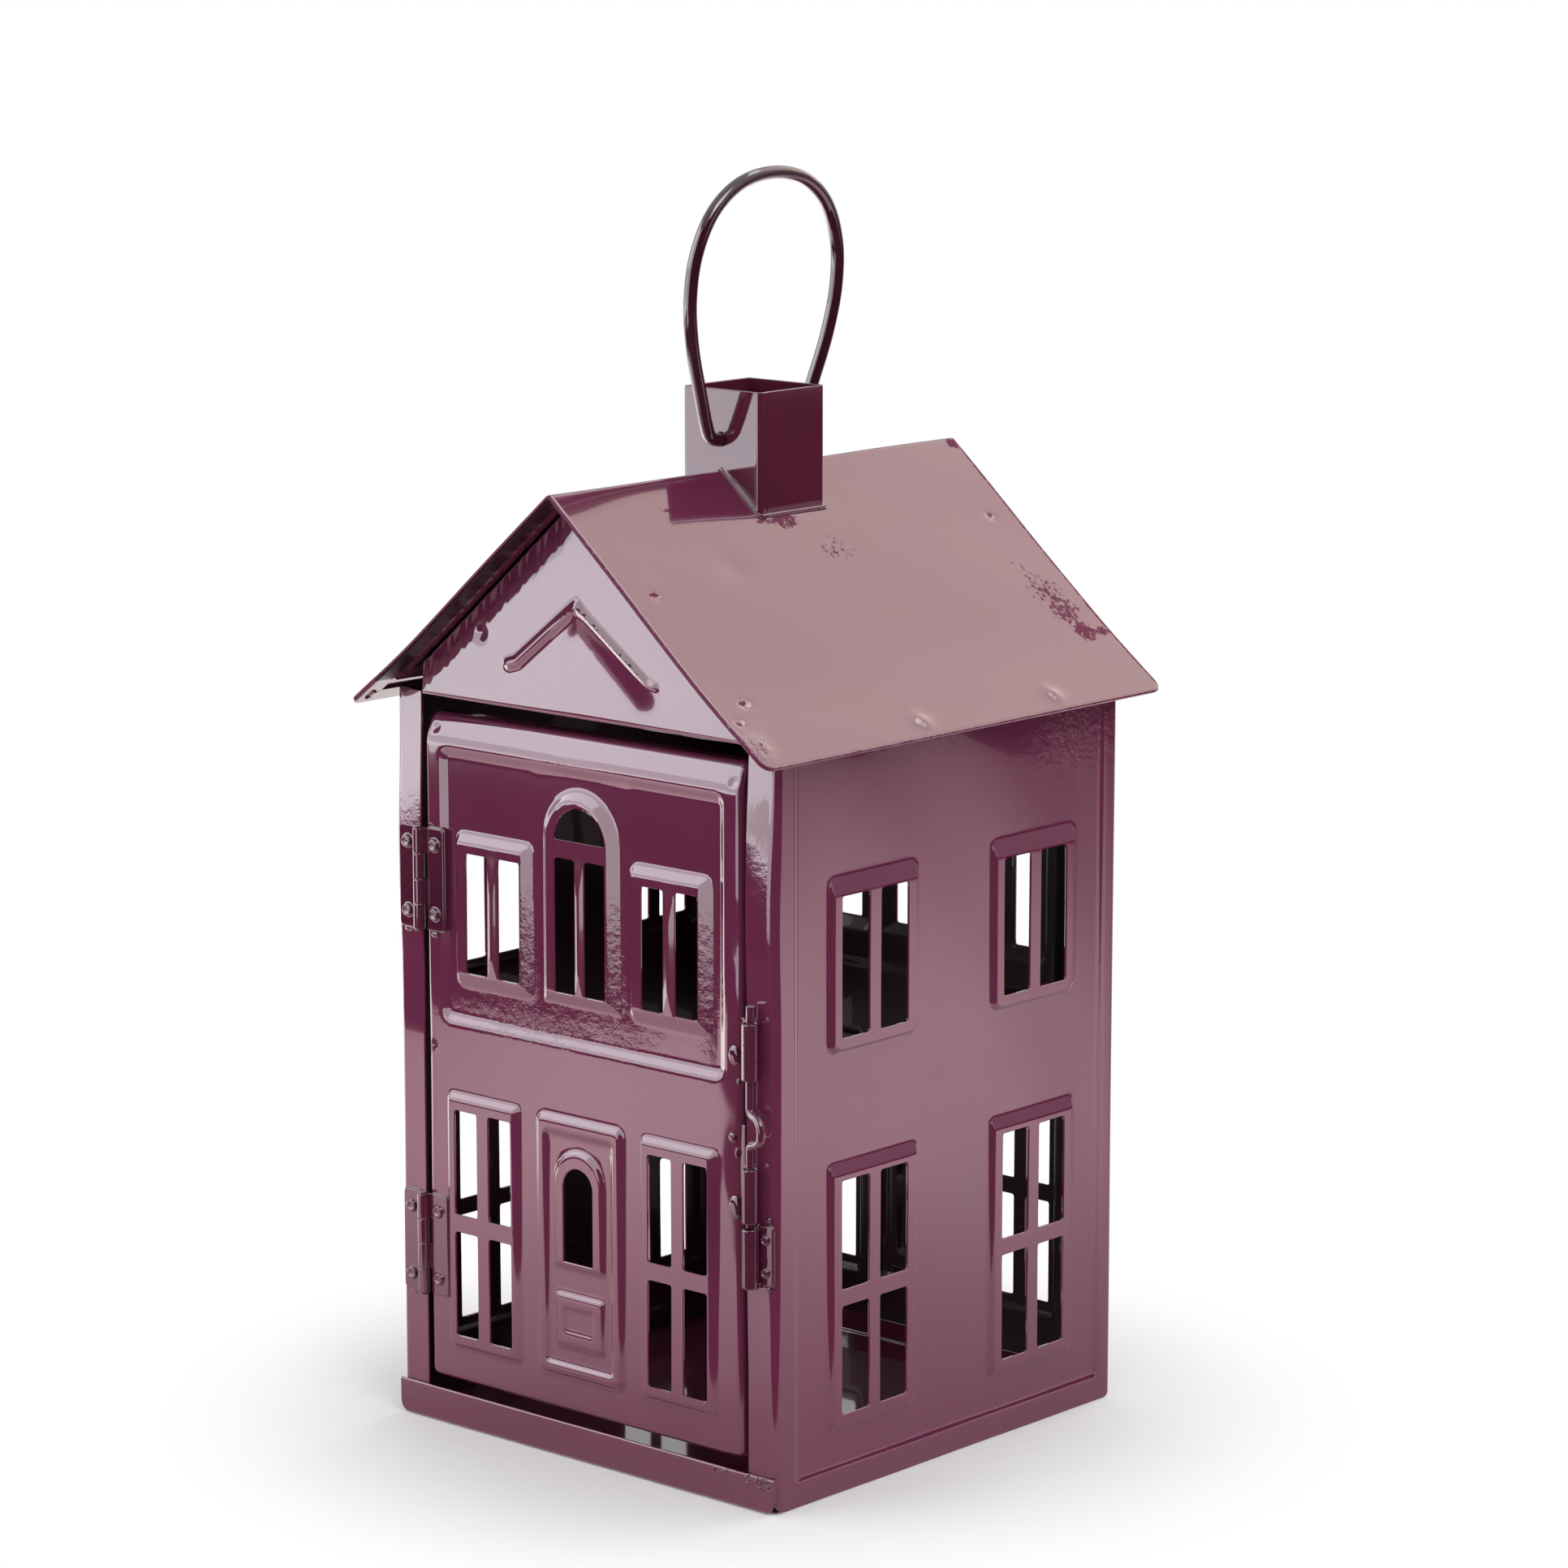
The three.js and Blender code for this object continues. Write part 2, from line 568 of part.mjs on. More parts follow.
// A rivet along its own axis: its made head starts at 0 and its set head ends the stack
function rivetGeometry({ shank, head, dome }, stack) {
  const profile = [
    [0, -dome], [head * 0.6, -dome * 0.85], [head, 0], [shank, 0],
    [shank, stack], [head * 0.85, stack], [head * 0.7, stack + dome * 0.6], [0, stack + dome * 0.6],
  ];
  const points = profile.map(([r, y]) => new THREE.Vector2(r, y));
  return geometryOf(solid(new THREE.LatheGeometry(points, SMALL_ROUND)));
}

// Hinges, about their own axis and middle height

function knuckleSpan(index) {
  const pitch = HINGE.height / HINGE.knuckles;
  const low = -HINGE.height / 2 + index * pitch;
  return [low + HINGE.gap / 2, low + pitch - HINGE.gap / 2];
}

function hingeLeaf(side, width, knuckles) {
  const back = HINGE.barrel;
  const near = side * (HINGE.barrel + HINGE.clear);
  const slab = (a, b, low, high) =>
    box([Math.min(a, b), back - HINGE.leaf, low], [Math.max(a, b), back, high]);
  const plate = slab(near, side * width, -HINGE.height / 2, HINGE.height / 2);
  const rolls = knuckles.map((index) => {
    const [low, high] = knuckleSpan(index);
    const roll = prism(new THREE.Shape().absarc(0, 0, HINGE.barrel, 0, 2 * Math.PI), low, high, ROUND);
    return roll.add(slab(0, side * width, low, high));
  });
  const radius = (HINGE.pin + HINGE.play) / Math.cos(Math.PI / ROUND);
  const bore = prism(new THREE.Shape().absarc(0, 0, radius, 0, 2 * Math.PI), -FAR, FAR, ROUND);
  return joined([plate, ...rolls]).subtract(bore);
}

function hingePin() {
  const end = HINGE.height / 2;
  const tip = end + HINGE.headHeight;
  const profile = [
    [0, -tip], [HINGE.head * 0.7, -tip], [HINGE.head, -end - LAP], [HINGE.pin, -end - LAP],
    [HINGE.pin, end + LAP], [HINGE.head, end + LAP], [HINGE.head * 0.7, tip], [0, tip],
  ];
  const points = profile.map(([r, y]) => new THREE.Vector2(r, y));
  return geometryOf(solid(new THREE.LatheGeometry(points, ROUND).rotateX(Math.PI / 2)));
}

function placedLeaf(side, width, knuckles, z) {
  const places = hingeRivetPlaces();
  const leaf = hingeLeaf(side, width, knuckles).translate([BARREL_X, BARREL_Y, z]);
  return geometryOf(cutBy(leaf, holesAt(places, HINGE_RIVET)));
}

// Latch

function sleeve(from, to) {
  const bore = BOLT.wire / 2 + BOLT.play;
  const ring = new THREE.Shape().absarc(BOLT.at, BOLT_Y, bore + SLEEVE_WALL, 0, 2 * Math.PI);
  return prism(ring, from, to, ROUND);
}

function sleeveBore() {
  const bore = BOLT.wire / 2 + BOLT.play;
  return prism(new THREE.Shape().absarc(BOLT.at, BOLT_Y, bore, 0, 2 * Math.PI), -FAR, FAR, ROUND);
}

function boltGuide({ from, to, tongue, rivets }) {
  const edge = DOOR_MIDDLE + DOOR_HALF;
  const web = (edge + STRIP_X) / 2;
  const behind = -WALL_Y + SHEET + LAP;
  const front = -WALL_Y - SLEEVE_CLEAR;
  const parts = [
    box([TONGUE_EDGE, behind, from], [web + SHEET / 2, behind + SHEET, to]),
    box([web - SHEET / 2, front - SHEET, from], [web + SHEET / 2, behind + SHEET, to]),
    box([web - SHEET / 2, front - SHEET, from], [BOLT.at, front, to]),
    sleeve(from, to),
  ];
  if (tongue > to) parts.push(box([TONGUE_EDGE, behind, from], [edge - DOOR_EDGE - LAP, behind + SHEET, tongue]));
  const holes = rivets.map((z) => rivetHole(TONGUE_RIVET, z, LATCH_RIVET));
  return cutBy(joined(parts), [sleeveBore(), ...holes]);
}

function keeper() {
  const back = -WALL_Y - LAP;
  const plate = box([BOLT.at, back - SHEET, KEEPER.plateFrom], [KEEPER.edge, back, KEEPER.plateTo]);
  const body = plate.add(sleeve(KEEPER.from, KEEPER.to));
  return cutBy(body, [sleeveBore(), ...holesAt(keeperRivetPlaces(), LATCH_RIVET)]);
}

function wireAlong(points, radius, steps) {
  const curve = new THREE.CatmullRomCurve3(points, false, "centripetal");
  const section = new THREE.Shape();
  for (let i = 0; i < SMALL_ROUND; i++) {
    const turn = (i / SMALL_ROUND) * 2 * Math.PI;
    const corner = [radius * Math.cos(turn), radius * Math.sin(turn)];
    if (i) section.lineTo(...corner);
    else section.moveTo(...corner);
  }
  return solid(new THREE.ExtrudeGeometry(section, { steps, extrudePath: curve, bevelEnabled: false }));
}

function bolt() {
  const { top, loopTop, loopFoot, tip, reach, wire } = BOLT;
  const middle = (loopTop + loopFoot) / 2;
  const bend = wire * 0.6;
  const out = [
    [0, top], [0, loopTop + bend], [0, loopTop], [bend, loopTop - wire / 2], [reach * 0.7, loopTop - wire],
    [reach, middle], [reach * 0.7, loopFoot + wire], [bend, loopFoot + wire / 2], [0, loopFoot],
    [0, loopFoot - bend], [0, tip],
  ];
  const points = out.map(([x, z]) => new THREE.Vector3(x * Math.cos(BOLT_TURN), -x * Math.sin(BOLT_TURN), z));
  return wireAlong(points, wire / 2, BOLT_STEPS).translate([BOLT.at, BOLT_Y, 0]);
}

// The carrying wire about its pivot
function carryingWire() {
  const half = WIRE_LOOP.map(([y, z]) => new THREE.Vector3(0, y, z));
  const other = half.map(({ y, z }) => new THREE.Vector3(0, -y, z)).reverse();
  return wireAlong([...half, new THREE.Vector3(0, 0, WIRE_TOP), ...other], WIRE / 2, WIRE_STEPS);
}

// Enamel, one material for each piece
function enamel(tone, roughness) {
  return new THREE.MeshStandardMaterial({ color: tone, roughness, metalness: 0.1 });
}

const PLUM = 0x642c46;
const DEEP_PLUM = 0x4e1e2e;

function piece(name, shape, tone = PLUM, roughness = 0.18) {
  const geometry = shape.isBufferGeometry ? shape : geometryOf(shape);
  const mesh = new THREE.Mesh(geometry, enamel(tone, roughness));
  mesh.name = name;
  return mesh;
}

// Assembly

function house() {
  const group = new THREE.Group();
  const hinge = hingeRivetPlaces().filter(({ side }) => side === "frame");
  const turnedHoles = holesAt(hinge, HINGE_RIVET).map((body) => body.rotate([0, 0, 180]));
  const left = piece("left_wall", sideWall(1, turnedHoles));
  left.rotation.z = Math.PI;
  group.add(
    piece("base_tray", tray()),
    piece("right_wall", sideWall(-1, holesAt(keeperRivetPlaces(), LATCH_RIVET))),
    left,
    piece("back_panel", backPanel()),
    piece("front_gable", gable(FRONT)),
    piece("back_gable", gable(BACK)),
    piece("roof_sheet", roof()),
    piece("flue_tube", flue(), DEEP_PLUM),
    piece("bolt_keeper", keeper(), DEEP_PLUM),
  );
  return group;
}

function hinges() {
  const group = new THREE.Group();
  for (const [level, z] of Object.entries(HINGE_HEIGHTS)) {
    const pin = piece(`${level}_hinge_pin`, hingePin(), DEEP_PLUM);
    pin.position.set(BARREL_X, BARREL_Y, z);
    group.add(
      piece(`${level}_hinge_frame_leaf`, placedLeaf(-1, HINGE.frameLeaf, [0, 2], z)),
      piece(`${level}_hinge_door_leaf`, placedLeaf(1, HINGE.doorLeaf, [1, 3], z)),
      pin,
    );
  }
  return group;
}

function rivets(places, rivet, front, stack) {
  return places.map(({ name, x, z }) => {
    const mesh = piece(name, rivetGeometry(rivet, stack), DEEP_PLUM);
    mesh.position.set(x, front, z);
    return mesh;
  });
}

function fasteners() {
  const group = new THREE.Group();
  const throughLeaf = HINGE.leaf + SHEET + 3 * LAP;
  group.add(
    ...rivets(hingeRivetPlaces(), HINGE_RIVET, -WALL_Y - 2 * LAP - HINGE.leaf, throughLeaf),
    ...rivets(guideRivetPlaces(), LATCH_RIVET, -WALL_Y - LAP, 2 * SHEET + 3 * LAP),
    ...rivets(keeperRivetPlaces(), LATCH_RIVET, -WALL_Y - 2 * LAP - SHEET, 2 * SHEET + 3 * LAP),
  );
  return group;
}

function doorParts() {
  const group = new THREE.Group();
  group.add(
    piece("door_panel", door()),
    piece("upper_bolt_guide", boltGuide(GUIDES.upper), DEEP_PLUM),
    piece("lower_bolt_guide", boltGuide(GUIDES.lower), DEEP_PLUM),
    piece("latch_bolt", bolt(), DEEP_PLUM),
  );
  return group;
}

function handle() {
  const group = new THREE.Group();
  group.position.set(0, FLUE_MIDDLE, PIVOT);
  group.rotation.y = WIRE_LEAN;
  group.add(piece("carrying_wire", carryingWire(), DEEP_PLUM));
  return group;
}

const lantern = new THREE.Group();
lantern.name = "house_lantern";
lantern.add(house(), hinges(), doorParts(), fasteners(), handle());

export default lantern;
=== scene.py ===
# %% [markdown]
# A tin lantern in the shape of a town house, dipped in glossy plum enamel. Each sheet part of it
# is one flat blank that was pressed, punched and folded, so this lesson builds each one the same
# way: a grid of points is laid over the blank, the grid is pressed by a height rule, and the
# sheet gets its thickness and its rounded cut edges last. The CAD frame says where each goes.

# %% Load the frame
import math
import bpy
import numpy as np
from mathutils import Matrix, Vector


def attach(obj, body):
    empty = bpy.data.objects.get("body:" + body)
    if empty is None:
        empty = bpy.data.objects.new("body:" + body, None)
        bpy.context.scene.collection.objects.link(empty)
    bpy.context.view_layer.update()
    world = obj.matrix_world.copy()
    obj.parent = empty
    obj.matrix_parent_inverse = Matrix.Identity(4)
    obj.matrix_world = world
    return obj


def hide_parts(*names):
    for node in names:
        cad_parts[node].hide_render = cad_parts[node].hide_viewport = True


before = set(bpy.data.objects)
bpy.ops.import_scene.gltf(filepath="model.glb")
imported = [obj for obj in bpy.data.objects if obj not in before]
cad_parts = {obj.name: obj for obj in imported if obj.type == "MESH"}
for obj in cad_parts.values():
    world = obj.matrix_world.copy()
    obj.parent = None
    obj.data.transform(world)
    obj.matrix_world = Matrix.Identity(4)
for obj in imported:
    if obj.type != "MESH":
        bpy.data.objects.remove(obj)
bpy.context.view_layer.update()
MM = 0.001

# %% [markdown]
# The photograph was taken from the front right, a little above the eaves, with a long lens. The
# camera's place was found by matching measured corners, so it stays as numbers here, in
# millimetres.

# %% Camera
VIEW_AZIMUTH = math.radians(41.656)
VIEW_ELEVATION = math.radians(10.75)
VIEW_DISTANCE = 1180.5
LENS = 121.74
SENSOR = 36
NEAREST = 50
AIM_HEIGHT = 143.26
AIM_RIGHT = 5.62

back = Vector((
    math.sin(VIEW_AZIMUTH) * math.cos(VIEW_ELEVATION),
    -math.cos(VIEW_AZIMUTH) * math.cos(VIEW_ELEVATION),
    math.sin(VIEW_ELEVATION),
))
right = Vector((math.cos(VIEW_AZIMUTH), math.sin(VIEW_AZIMUTH), 0))
place = Vector((0, 0, AIM_HEIGHT)) + right * AIM_RIGHT + back * VIEW_DISTANCE
camera_data = bpy.data.cameras.new("photo_camera")
camera_data.lens = LENS
camera_data.sensor_width = SENSOR
camera_data.clip_start = NEAREST * MM
camera = bpy.data.objects.new("photo_camera", camera_data)
turn = Matrix((right, back.cross(right), back)).transposed().to_4x4()
camera.matrix_world = Matrix.Translation(place * MM) @ turn
bpy.context.scene.collection.objects.link(camera)
bpy.context.scene.camera = camera
bpy.context.scene.view_settings.view_transform = "Standard"

# %% [markdown]
# Sizes in millimetres, as on the maker's drawing. X runs along the front, Y to the back, Z up.

# %% Sizes of the sheet parts
SHEET = 0.6
ROOF_SHEET = 0.45
TRAY_SHEET = 0.44
WALL_X = 56.4
WALL_Y = 57.5
STRIP_X = 48.6
CORNER_BEND = 1.8
WALL_FOOT = 0.2
WALL_HEAD = 166
FOOT_RADIUS = 3
LAP = 0.1
LIP_HEIGHT = 8
LIP = 0.9
ROOF_X = 62.05
ROOF_Y = 66.6
EAVE = 163.3
KINK_X = 46.1
KINK_Z = 175.4
RIDGE = 215.1
PITCH = (RIDGE - KINK_Z) / KINK_X
GABLE_FOOT = 165.4
GABLE_HALF = 47.8
DOOR_MIDDLE = -0.5
DOOR_HALF = 47.1
DOOR_SILL = 10.3
DOOR_HEAD = 161.5
BACK_DROP = 3
FLUE_X = 11.25
FLUE_Y = 10.75
FLUE_MIDDLE = -1.5
FLUE_TOP = 232.4
PIVOT = 221.6

# %% [markdown]
# Enamel is coloured glass fused or baked on a metal sheet. It is smooth and thick, so it mirrors
# the studio sharply, pools darker in hollows and shows a faint orange peel on broad faces. One
# node recipe makes it, and a few numbers make the same dip look right on sheet, wire and rivets.

# %% Colours and nodes
def linear(hex_colour):
    """An sRGB hex colour as linear red, green, blue and alpha."""
    channels = [int(hex_colour[i:i + 2], 16) / 255 for i in (1, 3, 5)]
    return [c / 12.92 if c <= 0.04045 else ((c + 0.055) / 1.055) ** 2.4 for c in channels] + [1]


def add_node(tree, kind, settings=None, links=None):
    """A node of that kind, with its settings by name and its input links by socket."""
    node = tree.nodes.new(kind)
    for name, value in (settings or {}).items():
        if isinstance(name, int) or name in node.inputs:
            node.inputs[name].default_value = value
        else:
            setattr(node, name, value)
    for name, source in (links or {}).items():
        tree.links.new(source, node.inputs[name])
    return node


def new_material(name):
    """A material with an empty node tree, and that tree."""
    material = bpy.data.materials.new(name)
    material.use_nodes = True
    material.node_tree.nodes.clear()
    return material, material.node_tree


def maths(tree, operation, *values):
    """The result of a maths node; its values are numbers or sockets."""
    node = add_node(tree, "ShaderNodeMath", {"operation": operation})
    for place, value in enumerate(values):
        if isinstance(value, (int, float)):
            node.inputs[place].default_value = value
        else:
            tree.links.new(value, node.inputs[place])
    return node.outputs[0]


def product(tree, first, *others):
    """All the factors multiplied, in their order."""
    for other in others:
        first = maths(tree, "MULTIPLY", first, other)
    return first


def change(tree, value, start, end, before, after, way="SMOOTHSTEP"):
    """A change from one level to another while the value goes from start to end."""
    return add_node(tree, "ShaderNodeMapRange", {
        "interpolation_type": way, "From Min": start, "From Max": end,
        "To Min": before, "To Max": after,
    }, {"Value": value}).outputs[0]


def noise(tree, where, size, detail, roughness=0.5):
    """Noise with patches of that size in millimetres."""
    return add_node(
        tree, "ShaderNodeTexNoise",
        {"Scale": 1 / (size * MM), "Detail": detail, "Roughness": roughness}, {"Vector": where},
    ).outputs["Fac"]


def two_colours(tree, share, first, second, start=0, end=1):
    """Goes from the first colour to the second while the share goes from start to end."""
    node = add_node(tree, "ShaderNodeValToRGB", links={"Fac": share})
    for stop, place, colour in zip(node.color_ramp.elements, (start, end), (first, second)):
        stop.position, stop.color = place, linear(colour)
    return node.outputs["Color"]


def plum_enamel(name, body, pooled, peel, peel_width, roughness, coat=1.0):
    """Dipped plum enamel: body and pooled colours, depth and width of its orange peel."""
    material, tree = new_material(name)
    where = add_node(tree, "ShaderNodeTexCoord").outputs["Object"]
    tone = two_colours(tree, noise(tree, where, 38, 3), pooled, body, 0.3, 0.65)
    rough, matt = (
        add_node(tree, "ShaderNodeAttribute", {"attribute_name": way}).outputs["Fac"]
        for way in ("rough", "matt")
    )
    # The peel is strong in a few patches and faint between them
    strength = change(tree, noise(tree, where, 24, 1), 0.52, 0.72, 0.25, 4.0)
    grain = product(tree, noise(tree, where, peel_width, 2), strength)
    # Where the mesh is marked as rough, the enamel dried in coarse pits
    pits = product(tree, noise(tree, where, 2.6, 4, 0.62), rough)
    depth = maths(tree, "MULTIPLY_ADD", pits, 1 / peel, grain)
    bump = add_node(tree, "ShaderNodeBump", {"Strength": 1, "Distance": peel * MM}, {"Height": depth})
    # Where it is marked as matt, the gloss is gone in ragged flakes
    flakes = product(tree, noise(tree, where, 1.3, 5, 0.75), matt)
    gloss, shine = (
        change(tree, flakes, 0.4, 0.46, full, 0.06 * full, "LINEAR")
        for full in (coat, 0.5 * coat ** 0.6)
    )
    shader = add_node(
        tree, "ShaderNodeBsdfPrincipled",
        {"Roughness": roughness, "IOR": 1.75, "Coat Roughness": 0.02, "Coat IOR": 1.6},
        {"Base Color": tone, "Normal": bump.outputs[0], "Coat Normal": bump.outputs[0],
         "Coat Weight": gloss, "Specular IOR Level": shine},
    )
    add_node(tree, "ShaderNodeOutputMaterial", links={"Surface": shader.outputs["BSDF"]})
    return material


sheet_enamel = plum_enamel("plum enamel on pressed sheet", "#6B2A48", "#642843", 0.004, 2.2, 0.08)
fitting_enamel = plum_enamel("plum enamel pooled on fittings", "#5A2139", "#461930", 0.012, 1.2, 0.07)
wire_enamel = plum_enamel("plum enamel on drawn wire", "#3C1526", "#30101E", 0.006, 2.5, 0.1)
# A darker, less glossy enamel for the inner faces and the hem's underside, as painted shade
shaded_inside_enamel = plum_enamel("plum enamel darkened inside as painted shade", "#2E0D1C", "#200914", 0.01, 1.6, 0.35, 0.2)
# The flue's enamel is painted darker than the sheet's, as shade on its faces
flue_enamel = plum_enamel("plum enamel on the flue, darkened as painted shade", "#60233B", "#521E33", 0.004, 2.2, 0.07)

# %% [markdown]
# A pressed sheet is described by outlines. The distance to an outline says how far down its slope
# a point lies, and a rounded ramp turns that into height, so each bend catches light as a soft
# line and not as a hard corner.

# %% Distances and slopes
def from_rect(u, v, left, low, right, high, radius):
    """Distance to a rounded rectangle: negative inside."""
    x = np.abs(u - (left + right) / 2) - (right - left) / 2 + radius
    y = np.abs(v - (low + high) / 2) - (high - low) / 2 + radius
    return np.hypot(np.maximum(x, 0), np.maximum(y, 0)) + np.minimum(np.maximum(x, y), 0) - radius


def from_arch(u, v, middle, half, low, high):
    """Distance to a doorway with a half-round head: negative inside."""
    spring = high - half
    head = np.hypot(u - middle, v - spring) - half
    sides = np.maximum(np.abs(u - middle) - half, low - v)
    return np.where(v > spring, head, sides)


def from_mitre(u, v, left, low, right, high, radius, slopes):
    """Like from_rect, but counted in widths of the slope on each side: they meet in mitres."""
    west, south, east, north = slopes
    inward = np.minimum(np.minimum((u - left) / west, (right - u) / east),
                        np.minimum((v - low) / south, (high - v) / north))
    return -np.minimum(inward, -from_rect(u, v, left, low, right, high, radius) / min(slopes))


def from_wide_arch(u, v, middle, half, low, high, slopes):
    """Like from_arch, counted in widths of a slope that is wider on one side than the other."""
    west, east, south = slopes
    t = np.clip((u - middle) / half * 0.5 + 0.5, 0, 1)
    width = west + (east - west) * t * t * (3 - 2 * t)
    return np.maximum(from_arch(u, v, middle, half, low - 50, high) / width, (low - v) / south)


def ramp(t, k):
    """0 before a slope and 1 after it, with both bends rounded over k of its width."""
    def bend(x):
        return np.where(x < -k, 0, np.where(x > k, x, (x + k) ** 2 / (4 * k)))
    return bend(t) - bend(t - 1)


def rising(x, start, width):
    """0 up to start, 1 from start + width on and an even rise between them."""
    return np.clip((x - start) / width, 0, 1)


def falling(x, end, width):
    """1 up to end - width, 0 from end on and an even fall between them."""
    return np.clip((end - x) / width, 0, 1)


def middles(values):
    """The middle between each value and the next."""
    return (values[1:] + values[:-1]) / 2


def grid_lines(exact, fine, coarse, growth=0.35):
    """Grid lines through each exact place: fine apart beside it, up to coarse far from all."""
    exact = np.unique(np.round(exact, 3))
    out = [exact[0]]
    for low, high in zip(exact[:-1], exact[1:]):
        t = np.linspace(low, high, 200)
        gap = np.minimum(t - low, high - t)
        density = 1 / np.minimum(fine + growth * gap, coarse)
        total = np.concatenate([[0], np.cumsum(middles(density) * np.diff(t))])
        count = max(1, int(np.ceil(total[-1] - 0.35)))
        out += list(np.interp(np.arange(1, count + 1) / count * total[-1], total, t))
    return np.array(out)


# %% [markdown]
# A class keeps a blank's outlines together with the grid lines that they need. Punched lights
# have small round corners, so the grid is drawn in towards each corner: squares become circles.

# %% A pressed blank
LIGHT_CORNER = 0.7
SOFT_BEND = 0.45


class Blank:
    """A sheet blank: what is pressed into it, what is punched out of it and its grid lines."""

    def __init__(self, u, v):
        self.u, self.v = list(u), list(v)
        self.steps, self.punched, self.circles = [], [], []

    def press(self, distance, rise, slope, bend, u, v):
        """Adds one pressed step and the grid lines where its slopes begin and end."""
        self.steps.append((distance, rise, slope, bend))
        self.u += u
        self.v += v

    def rect(self, left, low, right, high, radius, rise, slope):
        self.press(
            lambda u, v: from_rect(u, v, left, low, right, high, radius), rise, slope, SOFT_BEND,
            [left, left + slope, right - slope, right], [low, low + slope, high - slope, high],
        )

    def arch(self, middle, half, low, high, rise, slope):
        left, right = middle - half, middle + half
        self.press(
            lambda u, v: from_arch(u, v, middle, half, low, high), rise, slope, SOFT_BEND,
            [left, left + slope, right - slope, right],
            [low, low + slope, high - half, high - slope, high],
        )

    def mitred(self, left, low, right, high, radius, rise, slopes, bend=0.35):
        west, south, east, north = slopes
        self.press(
            lambda u, v: from_mitre(u, v, left, low, right, high, radius, slopes),
            rise, 1, bend / max(slopes),
            [left, left + west, right - east, right], [low, low + south, high - north, high],
        )

    def wide_arch(self, middle, half, low, high, rise, slopes, bend=0.35):
        west, east, south = slopes
        left, right = middle - half, middle + half
        self.press(
            lambda u, v: from_wide_arch(u, v, middle, half, low, high, slopes),
            rise, 1, bend / max(slopes), [left, left + west, right - east, right],
            [low, low + south, high - half, high - (west + east) / 2, high],
        )

    def light(self, left, low, right, high):
        """A punched opening with small round corners."""
        self.punched.append((left, low, right, high))
        self.u += [left - 0.4, left, right, right + 0.4]
        self.v += [low - 0.4, low, high, high + 0.4]
        for x, sx in ((left, -1), (right, 1)):
            for y, sy in ((low, -1), (high, 1)):
                self.circles.append((
                    x - sx * LIGHT_CORNER, y - sy * LIGHT_CORNER, sx, sy,
                    LIGHT_CORNER + 0.2, LIGHT_CORNER + 0.9,
                ))

    def round_light(self, middle, half, low, spring, flat, fade):
        """A punched opening with a half-round head above its spring."""
        self.punched.append((middle - half, low, middle + half, spring + half))
        self.u += [middle - half, middle + half]
        self.v += [low - 0.4, low, spring, spring + half]
        for side in (-1, 1):
            self.circles.append((middle, spring, side, 1, flat, fade))

    def warp(self, u, v):
        """Turns the squares round each marked place into circles, less and less over its fade."""
        for cx, cy, sx, sy, flat, fade in self.circles:
            dx, dy = (u - cx) * sx, (v - cy) * sy
            ring = np.maximum(dx, dy)
            inside = (dx > 0) & (dy > 0) & (ring < fade)
            scale = ring / np.maximum(np.hypot(dx, dy), 1e-9)
            weight = np.where(inside, np.clip((fade - ring) / (fade - flat), 0, 1), 0)
            u = u + dx * sx * (scale - 1) * weight
            v = v + dy * sy * (scale - 1) * weight
        return u, v

    def height(self, u, v):
        """How far the pressed steps raise each point."""
        h = np.zeros_like(u)
        for distance, rise, slope, bend in self.steps:
            h = h + rise * ramp(-distance(u, v) / slope, min(bend / slope, 0.5))
        return h

    def lines(self, fine=0.42, coarse=4):
        """The grid lines both ways."""
        return grid_lines(self.u, fine, coarse), grid_lines(self.v, fine, coarse)

    def grid(self, *spacing):
        """The grid lines both ways, and the warped places where they cross."""
        u, v = self.lines(*spacing)
        return u, v, *self.warp(*np.meshgrid(u, v))

    def keep(self, u, v):
        """Which cells of the grid are metal."""
        mu, mv = middles(u)[None, :], middles(v)[:, None]
        metal = np.ones((len(v) - 1, len(u) - 1), bool)
        for left, low, right, high in self.punched:
            metal &= ~((mu > left) & (mu < right) & (mv > low) & (mv < high))
        return metal


# %% [markdown]
# The last step gives the sheet its thickness along its own normals. Each cut edge gets a half
# round, because the dip leaves a bead there that shows as a bright line in the photograph.

# %% From a grid of points to a sheet
EDGE_BULGE = 0.28


def corner_normals(points, quads):
    """Unit normals at the points, averaged over the faces round each."""
    a, b, c, d = (points[quads[:, i]] for i in range(4))
    face = np.cross(c - a, d - b)
    normals = np.zeros_like(points)
    for i in range(4):
        np.add.at(normals, quads[:, i], face)
    return normals / np.maximum(np.linalg.norm(normals, axis=1, keepdims=True), 1e-12)


def new_object(name, points, faces, sharp):
    """A mesh object in metres from points in millimetres, smooth but for its sharp edges."""
    mesh = bpy.data.meshes.new(name)
    mesh.from_pydata((np.asarray(points) * MM).tolist(), [], np.asarray(faces).tolist())
    mesh.validate()
    mesh.shade_smooth()
    mesh.set_sharp_from_angle(angle=math.radians(sharp))
    piece = bpy.data.objects.new(name, mesh)
    bpy.context.scene.collection.objects.link(piece)
    return piece


